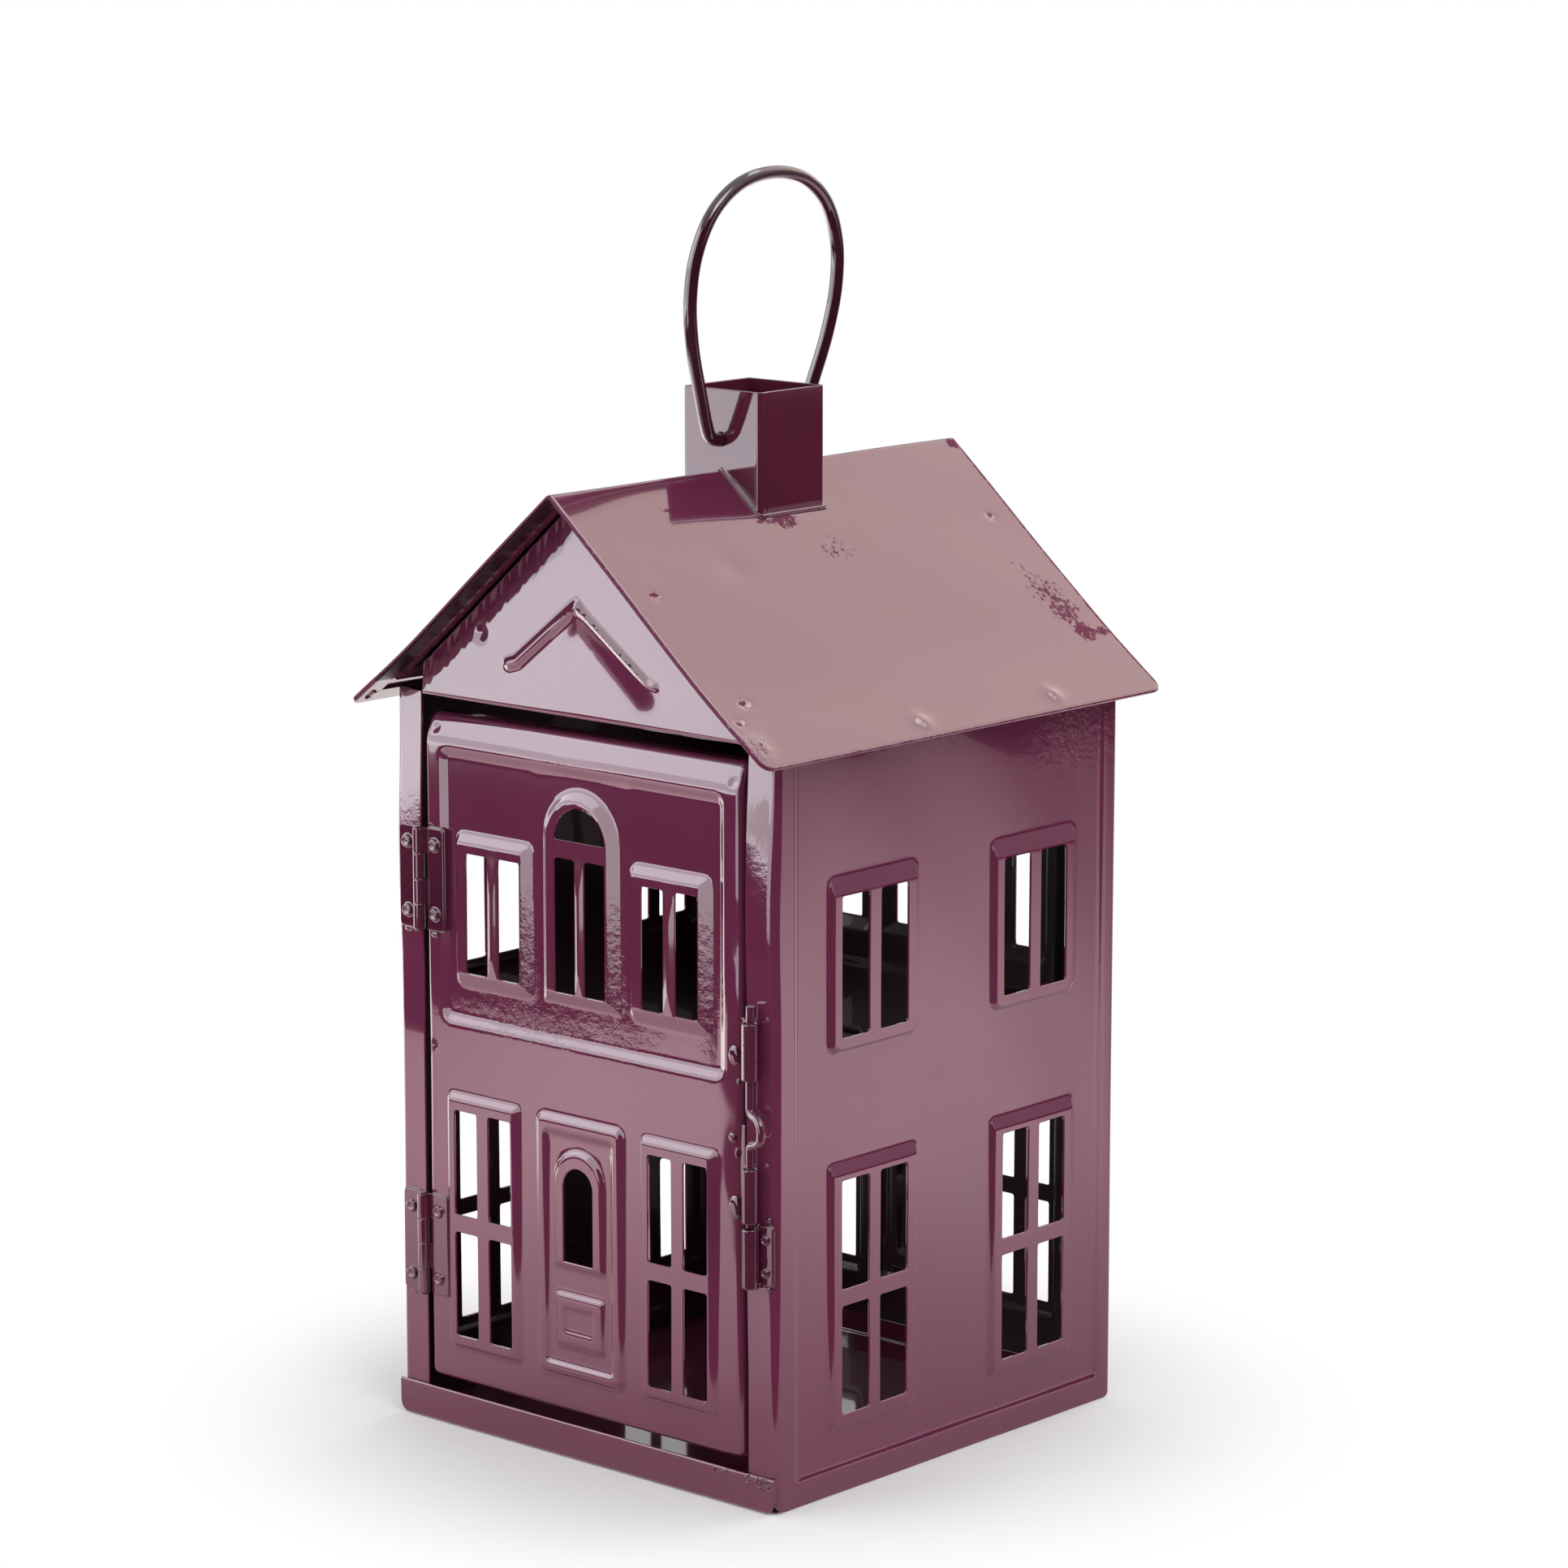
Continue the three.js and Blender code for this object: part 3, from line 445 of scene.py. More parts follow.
def sheet_mesh(grid, keep, thickness, closed=False):
    """Points and faces of a sheet whose outer face is grid, an array of rows by columns by 3."""
    rows, columns = grid.shape[:2]
    points = grid.reshape(-1, 3)
    i, j = np.nonzero(keep)
    step = (j + 1) % columns if closed else j + 1
    above = i * columns + columns
    quads = np.stack([i * columns + j, i * columns + step, above + step, above + j], 1)
    used, quads = np.unique(quads, return_inverse=True)
    quads = quads.reshape(-1, 4)
    points = points[used]
    normals = corner_normals(points, quads)
    count = len(points)
    # A cut edge belongs to one face only
    edges = quads[:, [0, 1, 1, 2, 2, 3, 3, 0]].reshape(-1, 2)
    seen = dict.fromkeys(map(tuple, edges.tolist()))
    cut = np.array([(a, b) for a, b in seen if (b, a) not in seen])
    outward = np.zeros_like(points)
    along = points[cut[:, 1]] - points[cut[:, 0]]
    side = np.cross(along, normals[cut[:, 0]])
    side /= np.maximum(np.linalg.norm(side, axis=1, keepdims=True), 1e-12)
    for end in (0, 1):
        np.add.at(outward, cut[:, end], side)
    rim = np.unique(cut)
    outward[rim] /= np.maximum(np.linalg.norm(outward[rim], axis=1, keepdims=True), 1e-12)
    middle = points[rim] - normals[rim] * thickness / 2
    rings = [rim]
    extra = []
    slot = np.zeros(count, int)
    slot[rim] = np.arange(len(rim))
    for number, degrees in enumerate((60, 120)):
        a = math.radians(degrees)
        up, out = math.cos(a) * thickness / 2, math.sin(a) * thickness * EDGE_BULGE
        extra.append(middle + normals[rim] * up + outward[rim] * out)
        rings.append(2 * count + number * len(rim) + np.arange(len(rim)))
    rings.append(rim + count)
    all_points = np.concatenate([points, points - normals * thickness, *extra])
    faces = [quads, quads[:, ::-1] + count]
    for upper, lower in zip(rings[:-1], rings[1:]):
        a, b = slot[cut[:, 0]], slot[cut[:, 1]]
        faces.append(np.stack([upper[b], upper[a], lower[a], lower[b]], 1))
    return all_points, np.concatenate(faces), len(quads)


def pressed(name, grid, keep, thickness, closed=False, sharp=35, shade_inside=False, shade_outside=False):
    """A sheet object; where the two masks hold, its inner or outer faces get the darker enamel of painted
    shade.
    """
    points, faces, count = sheet_mesh(grid, keep, thickness, closed)
    piece = new_object(name, points, faces, sharp)
    if np.any(shade_inside):
        index = np.zeros(len(piece.data.polygons), np.int32)
        index[count:2 * count] = np.broadcast_to(shade_inside, keep.shape)[keep]
        index[:count] = np.broadcast_to(shade_outside, keep.shape)[keep]
        piece.data.materials.append(sheet_enamel)
        piece.data.materials.append(shaded_inside_enamel)
        piece.data.polygons.foreach_set("material_index", index)
    return piece


def dried(piece, way, spots):
    """Marks rough or matt enamel; each spot is a place, its reach along X, Y and Z and its share."""
    points = np.empty(len(piece.data.vertices) * 3)
    piece.data.vertices.foreach_get("co", points)
    points = points.reshape(-1, 3) / MM
    share = np.zeros(len(points))
    for spot, reach, most in spots:
        away = (((points - spot) / reach) ** 2).sum(1)
        share = np.maximum(share, most * np.exp(-away))
    piece.data.attributes.new(way, "FLOAT", "POINT").data.foreach_set("value", share)


def finish(piece, body, slot, material, *nodes):
    """Gives a piece its finish, lets it ride its body and hides the CAD nodes it stands for."""
    if len(piece.data.materials) < 2:
        piece.data.materials.clear()
        piece.data.materials.append(material)
    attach(piece, body)
    if nodes:
        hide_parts(*nodes)
    print(piece.name, "faces:", len(piece.data.polygons))


# %% [markdown]
# The door and the back share one relief: a sunk field with three windows above, two tall windows
# below and a small house door between them. Only the door is a pan with rounded, folded edges.

# %% The relief of the front
def window(blank, middle, half, sill, head, side, foot, top, rows, transom, corner, slopes,
           mullion=3.3, rounded=0):
    """A raised frame and its punched lights, two wide and rows high."""
    blank.mitred(middle - half, sill, middle + half, head, corner, 1, slopes)
    bar = mullion / 2
    low, high = sill + foot, head - top
    row = (high - low - (rows - 1) * transom) / rows
    if rounded:
        blank.mitred(middle - bar, low - 1, middle + bar, high + 1, 0, rounded, (bar, 6, bar, 9), 1.5)
    for k in range(rows):
        row_foot = low + k * (row + transom)
        blank.light(middle - half + side, row_foot, middle - bar, row_foot + row)
        blank.light(middle + bar, row_foot, middle + half - side, row_foot + row)


def house_front(u, v):
    """The blank of the door, which the back panel repeats."""
    blank = Blank(u, v)
    blank.rect(-42.4, 92.6, 42.4, 154.5, 3, -1, 2)
    blank.wide_arch(0, 11.35, 102, 149.5, 1, (1.3, 3.3, 2.3))
    blank.mitred(-1.3, 103.4, 1.3, 135.5, 0, 0.35, (1.3, 6, 1.3, 9), 1.5)
    blank.light(-7.6, 104.4, -1.3, 134.5)
    blank.light(1.3, 104.4, 7.6, 134.5)
    blank.round_light(0, 7.6, 138.3, 138.3, 12.5, 16)
    for side in (-1, 1):
        window(blank, side * 26.35, 11.95, 101.2, 136, 3.65, 3.2, 4.4, 1, 0, 3,
               (1.1, 3, 3.4, 2.2), rounded=0.4)
        window(blank, side * 29.27, 11.3, 18.2, 77.2, 2.57, 3.1, 3.9, 2, 3.7, 2, (1, 1.2, 2.2, 1.7))
    blank.rect(-13.1, 18.2, 13.1, 77.2, 2.4, 1, 1.1)
    blank.rect(-10.3, 20.7, 10.3, 73.8, 1.2, -0.7, 0.9)
    blank.arch(0, 7.6, 43.2, 70.2, 0.8, 0.9)
    blank.rect(-7.4, 25.1, 7.4, 37.7, 1.2, 0.7, 0.9)
    blank.rect(-4.6, 28.4, 4.6, 34.6, 0.8, -0.35, 0.7)
    blank.round_light(0, 4.55, 44.6, 61.75, 8.2, 10)
    return blank


def uneven(u, v, depth, seed):
    """The slow waves that pressing leaves in a thin sheet."""
    waves = np.random.default_rng(seed)
    h = np.zeros_like(u)
    for _ in range(6):
        fu, fv = waves.uniform(-1, 1, 2) * 2 * math.pi / 45
        h = h + np.sin(u * fu + v * fv + waves.uniform(0, 6.28))
    return h * depth / 6


def fold_over(past, radius, turn):
    """How far in and how far back a point lies that is `past` the start of a folded edge."""
    past = np.maximum(past, 0)
    bent = np.minimum(past / radius, turn)
    straight = np.maximum(past - radius * turn, 0)
    out = radius * np.sin(bent) + straight * math.cos(turn)
    deep = radius * (1 - np.cos(bent)) + straight * math.sin(turn)
    return out, deep


def rimmed(u, v, half_u, half_v, corner, radius, turn):
    """Folds the outer lines of a blank back round its outline, which has round corners."""
    du, dv = np.abs(u) - (half_u - corner), np.abs(v) - (half_v - corner)
    pu, pv = np.maximum(du, 0), np.maximum(dv, 0)
    ring = np.maximum(pu, pv)
    out, deep = fold_over(ring - (corner - radius), radius, turn)
    reach = np.where(ring > corner - radius, corner - radius + out, ring)
    long = np.maximum(np.hypot(pu, pv), 1e-9)
    u2 = np.sign(u) * (np.minimum(np.abs(u), half_u - corner) + pu / long * reach)
    v2 = np.sign(v) * (np.minimum(np.abs(v), half_v - corner) + pv / long * reach)
    return u2, v2, deep


# %% The door
DOOR_EDGE = 1.5
DOOR_CORNER = 1.8
DOOR_FLANGE = 4.5


def cornice(v):
    """The head of the door leans back in two steps."""
    up = v - (DOOR_HEAD - 5.4)
    return -1.1 * ramp(up / 2.7, 0.45) - 1.1 * ramp((up - 2.5) / 2.7, 0.45)


def edge_lines(half, corner, radius, turn, straight):
    """Grid lines that a folded edge needs beyond the flat of its blank."""
    start = half - radius
    bend = start + np.linspace(0, radius * turn, 6)
    return sorted([half - corner, *bend, bend[-1] + straight])


# Weld spots by place across and up the door, with width and depth
DOOR_DENTS = [(-44.2, 158.2, 0.9, -0.35), (44.6, 157.2, 1.0, -0.45), (-45.3, 86, 0.8, 0.3)]
LATCH_ROLL, HINGE_ROLL = 39.6, 43.4


def shoulders(u, v):
    """The door's sides roll back a little before their edge; the latch side is the more uneven."""
    wave = 0.75 + 0.3 * np.sin(v / 9.1 + 0.6) + 0.25 * np.sin(v / 3.7) * rising(v, 50, 20)
    latch_side = np.maximum(u - LATCH_ROLL, 0) / (DOOR_HALF - LATCH_ROLL)
    hinge_side = np.maximum(-u - HINGE_ROLL, 0) / (DOOR_HALF - HINGE_ROLL)
    return -0.55 * latch_side ** 2 * wave - 0.15 * hinge_side ** 2


def dents(u, v, marks):
    """Round dents; each mark is a place with its width and depth."""
    h = np.zeros_like(u)
    for x, y, width, depth in marks:
        h = h + depth * np.exp(-((u - x) ** 2 + (v - y) ** 2) / width ** 2)
    return h


def build_door():
    middle_v, half_v = (DOOR_SILL + DOOR_HEAD) / 2, (DOOR_HEAD - DOOR_SILL) / 2
    quarter = math.pi / 2
    beyond_u, beyond_v = (
        edge_lines(half, DOOR_CORNER, DOOR_EDGE, quarter, DOOR_FLANGE - DOOR_EDGE)
        for half in (DOOR_HALF, half_v)
    )
    blank = house_front(
        [-x for x in beyond_u] + beyond_u,
        [middle_v - x for x in beyond_v] + [middle_v + x for x in beyond_v] + [156.1, 158.6, 159],
    )
    blank.u += [mark[0] for mark in DOOR_DENTS]
    blank.v += [mark[1] for mark in DOOR_DENTS]
    u, v, U, V = blank.grid()
    U, V, deep = rimmed(U, V - middle_v, DOOR_HALF, half_v, DOOR_CORNER, DOOR_EDGE, quarter)
    V = V + middle_v
    height = blank.height(U, V) + cornice(V) + uneven(U, V, 0.12, 3) + shoulders(U, V)
    height = height + dents(U, V, DOOR_DENTS) - deep
    grid = np.stack([U + DOOR_MIDDLE, -WALL_Y - height, V], 2)
    door = pressed("pressed_door", grid, blank.keep(u, v), SHEET, shade_inside=True)
    dried(door, "rough", [
        ((-14, -57, 96.5), (17, 9, 4), 0.3), ((8, -57, 98), (12, 9, 5), 0.16),
        ((-16.8, -57, 110), (2.4, 9, 14), 0.3), ((9.6, -57, 112), (2.2, 9, 14), 0.26),
        ((36, -57, 112), (2.6, 9, 14), 0.25), ((-4, -57, 155), (9, 9, 1), 0.2),
    ])
    finish(door, "door", "enamel_sheet", sheet_enamel, "door_panel")


build_door()

# %% The back panel
def build_back():
    half = WALL_X - SHEET - 2 * LAP - CORNER_BEND
    low, high = WALL_FOOT + BACK_DROP, GABLE_FOOT - 0.3 + BACK_DROP
    blank = house_front([-half, half], [low, high])
    u, v, U, V = blank.grid(0.5, 5)
    height = blank.height(U, V) + uneven(U, V, 0.08, 5) * falling(np.abs(U), half, 8)
    grid = np.stack([-U, WALL_Y - SHEET - LAP + height, V - BACK_DROP], 2)
    panel = pressed("pressed_back", grid, blank.keep(u, v), SHEET, shade_inside=True)
    finish(panel, "house", "enamel_sheet", sheet_enamel, "back_panel")


build_back()

# %% [markdown]
# Each side wall is one sheet too. Its section, seen from above, is a long face with a strip folded
# round at each end, so the blank is measured along that section and then bent into place.

# %% Folded sections
def lengths_along(points):
    """How far along their line the points lie."""
    return np.concatenate([[0], np.cumsum(np.linalg.norm(np.diff(points, axis=0), axis=1))])


def resampled(points, length, places):
    """The points at other places along the same line."""
    return np.stack([np.interp(places, length, column) for column in points.T], 1)


class Section:
    """A folded line through corners with bend radii; gives place and direction along its length."""

    def __init__(self, corners, radii, steps=6):
        corners = [np.array(c, float) for c in corners]
        nodes = [corners[0]]
        for before, corner, after, radius in zip(corners[:-2], corners[1:-1], corners[2:], radii):
            a = (before - corner) / np.linalg.norm(before - corner)
            b = (after - corner) / np.linalg.norm(after - corner)
            half = math.acos(np.clip(a @ b, -1, 1)) / 2
            reach = radius / math.tan(half)
            centre = corner + (a + b) / np.linalg.norm(a + b) * radius / math.sin(half)
            start, end = corner + a * reach - centre, corner + b * reach - centre
            sweep = math.pi - 2 * half
            for t in np.linspace(0, 1, steps + 1):
                w0, w1 = math.sin((1 - t) * sweep), math.sin(t * sweep)
                nodes.append(centre + (start * w0 + end * w1) / math.sin(sweep))
        nodes.append(corners[-1])
        self.nodes = np.array(nodes)
        self.s = lengths_along(self.nodes)
        chord = np.unwrap(np.arctan2(*np.diff(self.nodes, axis=0)[:, ::-1].T))
        self.angle = np.concatenate([[chord[0]], middles(chord), [chord[-1]]])
        # Where a bend meets a straight length, the direction is that of the straight length
        steps_between = np.diff(self.s)
        for k in np.nonzero(steps_between > 3 * np.median(steps_between))[0]:
            self.angle[k:k + 2] = chord[k]
        self.length = self.s[-1]

    def at(self, s):
        """Both coordinates and the direction at lengths along the line."""
        return [np.interp(s, self.s, value) for value in (*self.nodes.T, self.angle)]


WALL_SECTION = Section(
    [(STRIP_X, -WALL_Y), (WALL_X, -WALL_Y), (WALL_X, WALL_Y), (STRIP_X, WALL_Y)],
    [CORNER_BEND, CORNER_BEND],
)
SIDE_COLUMNS = (-26, 28)
FACE_EDGE = 53
STRIP_START = 55.7
STRIP_BOW = -0.54
STRIP_TWIST = 0.09  # the strip at the latch isn't folded quite square
STRIP_LEAN = 0.004
LEAN_HEIGHT = 140


def build_wall(name, body_turn, node, seed):
    """A side wall with its windows; the left wall is the right one turned half round."""
    mid = WALL_SECTION.length / 2
    ends = WALL_SECTION.s - mid
    blank = Blank(ends, [WALL_FOOT, 3.5, 6, WALL_HEAD])
    blank.mitred(-51.5, 5.2, 52.5, WALL_HEAD, 2, -0.45, (1.2, 1.7, 1.2, 1), 0.5)
    for column in SIDE_COLUMNS:
        window(blank, column, 14.7, 97.5, 135.9, 3.8, 3, 4.3, 1, 0, 3, (1.4, 0.9, 1, 4.1), 3.4)
        window(blank, column, 14.7, 14.4, 73.7, 3.8, 3.1, 4.1, 2, 3.5, 2, (1.3, 0.9, 1, 3), 3.4)
    u, v, U, V = blank.grid(0.45, 5)
    x, y, angle = WALL_SECTION.at(U + mid)
    height = blank.height(U, V) + uneven(U, V, 0.16, seed) * falling(np.abs(U), FACE_EDGE, 10)
    # The front strips are bent a little, the back strips are held by the back panel
    front_strip = rising(np.abs(U), STRIP_START, 2.8) * (U * body_turn < 0)
    height = height + front_strip * STRIP_BOW * np.sin((V - 147) / 80 * 2 * math.pi) * rising(V, 90, 30)
    twist = STRIP_TWIST * (body_turn > 0) * rising(V, 30, 20) * falling(V, WALL_HEAD, 16)
    height = height - front_strip * twist * (mid - 4.4 + U)
    lean = (V - LEAN_HEIGHT) * np.exp(-((V - LEAN_HEIGHT) / 26) ** 2)
    height = height - front_strip * STRIP_LEAN * (61.5 - np.abs(U)) * lean
    x = x + np.sin(angle) * height
    y = y - np.cos(angle) * height
    # Rounded lower corners: the foot rises towards each fold and along the strips
    over = np.clip(np.abs(y) - (WALL_Y - FOOT_RADIUS), 0, FOOT_RADIUS)
    rise = FOOT_RADIUS - np.sqrt(FOOT_RADIUS ** 2 - over ** 2)
    V = V + rise * np.clip(1 - (V - WALL_FOOT) / 8, 0, 1)
    grid = np.stack([x * body_turn, y * body_turn, V], 2)
    wall = pressed(name, grid, blank.keep(u, v), SHEET, shade_inside=True)
    dried(wall, "rough", [
        ((52.5, -57.5, 134), (5, 2, 9), 0.07), ((-52.5, -57.5, 138), (5, 2, 9), 0.1),
        ((56.4, 46, 158), (3, 16, 9), 0.1),
    ])
    finish(wall, "house", "enamel_sheet", sheet_enamel, node)


build_wall("pressed_right_wall", 1, "right_wall", 11)
build_wall("pressed_left_wall", -1, "left_wall", 12)

# %% [markdown]
# The roof is one sheet, bent at the ridge and flared towards the eaves, with its edge hemmed. The
# welds that hold it left small dents, which are pressed into the grid like everything else.

# %% The roof
ROOF_SECTION = Section(
    [(-ROOF_X, EAVE), (-KINK_X, KINK_Z), (0, RIDGE), (KINK_X, KINK_Z), (ROOF_X, EAVE)],
    [250, 1.2, 250], 10,
)
# Dents by their place across and along the roof, with width and depth
ROOF_DENTS = [
    (47.6, -57.4, 1.2, -0.5), (51.2, -63, 1, -0.4), (58.4, -12.8, 2.1, 0.6), (58.4, 31.7, 2.1, 0.6),
    (23.6, -58.6, 1, -0.3), (20.8, -30.8, 4, -0.25), (18.4, 58, 0.9, -0.6),
    (-47.4, 55.2, 1.3, -0.6), (-54, 13, 1.8, 0.4), (-54, -31.8, 1.8, 0.4), (-23.6, 58.4, 0.9, -0.4),
]


HEM = 5
HEM_RADIUS = 0.55
ROOF_CORNER = 3
MOUTH_X, MOUTH_Y = 9, 7
ATTIC_X, ATTIC_Y = 68, 57


def build_roof():
    mid = ROOF_SECTION.length / 2
    beyond_s, beyond_y = (
        edge_lines(half, ROOF_CORNER, HEM_RADIUS, math.pi, HEM) for half in (mid, ROOF_Y)
    )
    half = ROOF_SECTION.s >= mid - 1e-6
    out = [abs(x) for x, *_ in ROOF_DENTS]
    across = np.interp(out, ROOF_SECTION.nodes[half, 0], ROOF_SECTION.s[half]) - mid
    dents = [(math.copysign(s, x), y, w, d) for s, (x, y, w, d) in zip(across, ROOF_DENTS)]
    inner = [s - mid for s in ROOF_SECTION.s[1:-1]]
    s = grid_lines([-x for x in beyond_s] + beyond_s + inner + [d[0] for d in dents], 0.45, 3.5)
    t = grid_lines([-y for y in beyond_y] + beyond_y + [d[1] for d in dents], 0.45, 3.5)
    S, T = np.meshgrid(s, t)
    S2, T2, deep = rimmed(S, T, mid, ROOF_Y, ROOF_CORNER, HEM_RADIUS, math.pi)
    x, z, angle = ROOF_SECTION.at(S2 + mid)
    height = uneven(S2, T2, 0.25, 21) * falling(np.abs(S2), mid, 8) - deep
    for ds, dt, width, depth in dents:
        near = ((S2 - ds) ** 2 + (T2 - dt) ** 2) / width ** 2
        height = height + depth * np.exp(-near) * (deep < HEM_RADIUS / 2)
    grid = np.stack([x - np.sin(angle) * height, T2, z + np.cos(angle) * height], 2)
    # The flue's mouth is cut out of the ridge; over the attic the inner face, and under the hem the folded
    # face, get darker enamel as painted shade
    mu, mv = np.abs(middles(s))[None, :], middles(t)[:, None]
    keep = ~((mu < MOUTH_X) & (np.abs(mv - FLUE_MIDDLE) < MOUTH_Y))
    inside = (mu < ATTIC_X) & (np.abs(mv) < ATTIC_Y)
    shaded_hem_under = (mu < ATTIC_X + 2) & (np.abs(mv) > ROOF_Y + 0.5)
    roof = pressed("hemmed_roof", grid, keep, ROOF_SHEET, shade_inside=inside, shade_outside=shaded_hem_under)
    dried(roof, "matt", [
        ((45.8, 58.2, 175.6), (5, 5, 5), 1.2), ((40.5, 57, 180.2), (9, 9, 9), 1.0),
        ((36, 56, 184.4), (9, 12, 9), 0.9), ((31, 54, 188), (9, 12, 9), 0.76),
        ((46.6, 63.6, 175), (2, 3, 2), 1.2), ((12.6, -6, 204.2), (3.4, 6, 3.4), 1.3),
        ((12.4, -12, 204.4), (2, 4, 2), 1.15), ((20, 3, 197.9), (12, 15, 12), 0.78),
        ((6.6, -36, 209.4), (1.6, 6, 3), 1.05), ((57, -63, 167), (3.6, 3.4, 3.4), 0.92),
        ((23.4, -58.8, 194.9), (0.8, 2, 0.8), 1.6), ((47.4, -57.8, 174.4), (1, 1.6, 1), 1.5),
        ((51.4, -63.2, 171.4), (1, 1.4, 1), 1.3), ((1.6, 64.4, 213.8), (1.6, 2, 1.6), 2),
        # Along its edges the hem hardly shines
        ((62.1, 0, 163.3), (0.4, 900, 900), 1.5), ((0, -66.6, 190), (900, 0.3, 900), 1.5),
        ((0, 66.6, 190), (900, 1.4, 900), 1.5),
    ])
    dried(roof, "rough", [((57, -63.5, 167), (3.6, 3, 3.6), 1.1), ((20.8, -58, 197), (2, 3, 2), 0.1)])
    finish(roof, "house", "enamel_sheet", sheet_enamel, "roof_sheet")


build_roof()

# %% [markdown]
# The gables are triangles with a chevron pressed in. Their rows fan out from a level foot to the
# slope of the roof, and both edges fold back to give the flanges that are welded inside.

# %% The gables
def under_roof(x, drop):
    """Height of a face that lies drop under the roof's outer face."""
    flare = (KINK_Z - EAVE) / (ROOF_X - KINK_X)
    low = EAVE + (ROOF_X - np.abs(x)) * flare - drop * math.hypot(1, flare)
    high = RIDGE - np.abs(x) * PITCH - drop * math.hypot(1, PITCH)
    return np.maximum(low, high)


def from_stroke(u, v, ends):
    """Distance to a bent line through the ends."""
    best = np.full_like(u, 1e9)
    for (x0, y0), (x1, y1) in zip(ends[:-1], ends[1:]):
        dx, dy = x1 - x0, y1 - y0
        t = np.clip(((u - x0) * dx + (v - y0) * dy) / (dx * dx + dy * dy), 0, 1)
        best = np.minimum(best, np.hypot(u - x0 - t * dx, v - y0 - t * dy))
    return best


CHEVRON = [(-20.8, 9.9), (-18.5, 10.6), (-0.4, 24.6), (19.9, 10.4), (22.2, 9.7)]


def build_gable(name, side, node, seed):
    """side is -1 for the front and 1 for the back."""
    drop = SHEET + 0.3
    radius = 0.9
    turn_back = math.pi / 2
    flange = 4
    u = grid_lines([-GABLE_HALF, -26, -24, 24, 26, GABLE_HALF, 0], 0.4, 0.55, 0.1)
    rows = np.concatenate([
        np.linspace(-radius * turn_back - flange, -radius * turn_back, 2)[:-1],
        np.linspace(-radius * turn_back, 0, 6)[:-1],
        np.linspace(0, 1, 110),
        1 + np.linspace(0, radius * turn_back, 6)[1:],
        [1 + radius * turn_back + flange],
    ])
    U, R = np.meshgrid(u, rows)
    foot = GABLE_FOOT + radius
    top = under_roof(U, drop) - radius
    V = foot + np.clip(R, 0, 1) * (top - foot)
    out_low, deep_low = fold_over(-R, radius, turn_back)
    out_high, deep_high = fold_over(R - 1, radius, turn_back)
    V = V - out_low * (R < 0) + out_high * (R > 1)
    ridge = from_stroke(U, V - GABLE_FOOT, CHEVRON)
    # The chevron's right stroke is finer than its left one
    fine = 1 - 0.42 * ramp((U + 1) / 3, 0.4)
    height = 0.85 * fine * (1 - ramp((ridge / fine - 0.35) / 1.2, 0.4))
    height = height + uneven(U, V, 0.1, seed) - deep_low - deep_high
    # Pressing the chevron drew the sheet below its right stroke outwards
    below = (V - GABLE_FOOT < np.interp(U, *np.array(CHEVRON).T)) * falling(np.abs(U), 24, 7)
    height = height + 0.36 * np.exp(-(ridge / 4) ** 2) * below * rising(U, -8, 7)
    height = height + dents(U, V, [(-29.5, 181, 1.6, -0.45)])
    # Its left slope was drawn back under the roof, unevenly
    rake = np.maximum(top - V, 0) * 0.75
    drawn = 0.4 * (1 + 0.16 * np.sin(U * 0.9) + 0.14 * np.sin(U * 2.3) + 0.1 * np.sin(U * 3.4))
    height = height - drawn * np.exp(-(rake / 3.2) ** 2) * falling(U, 0, 6)
    grid = np.stack([-side * U, side * (WALL_Y + height), V], 2)
    keep = np.ones((len(rows) - 1, len(u) - 1), bool)
    gable = pressed(name, grid, keep, SHEET, shade_inside=True)
    finish(gable, "house", "enamel_sheet", sheet_enamel, node)


build_gable("chevron_front_gable", -1, "front_gable", 31)
build_gable("chevron_back_gable", 1, "back_gable", 32)

# %% [markdown]
# The flue is a square tube, folded from one strip and lapped at a corner. Its foot is cut to the
# roof's slope and turned out a little, and two holes take the carrying wire.

# %% The flue
WIRE_HOLE = 1.7
ROUND_THE_HOLE = 4
FLUE_STRAIGHT = 216.5
FLUE_LAP = 2.3


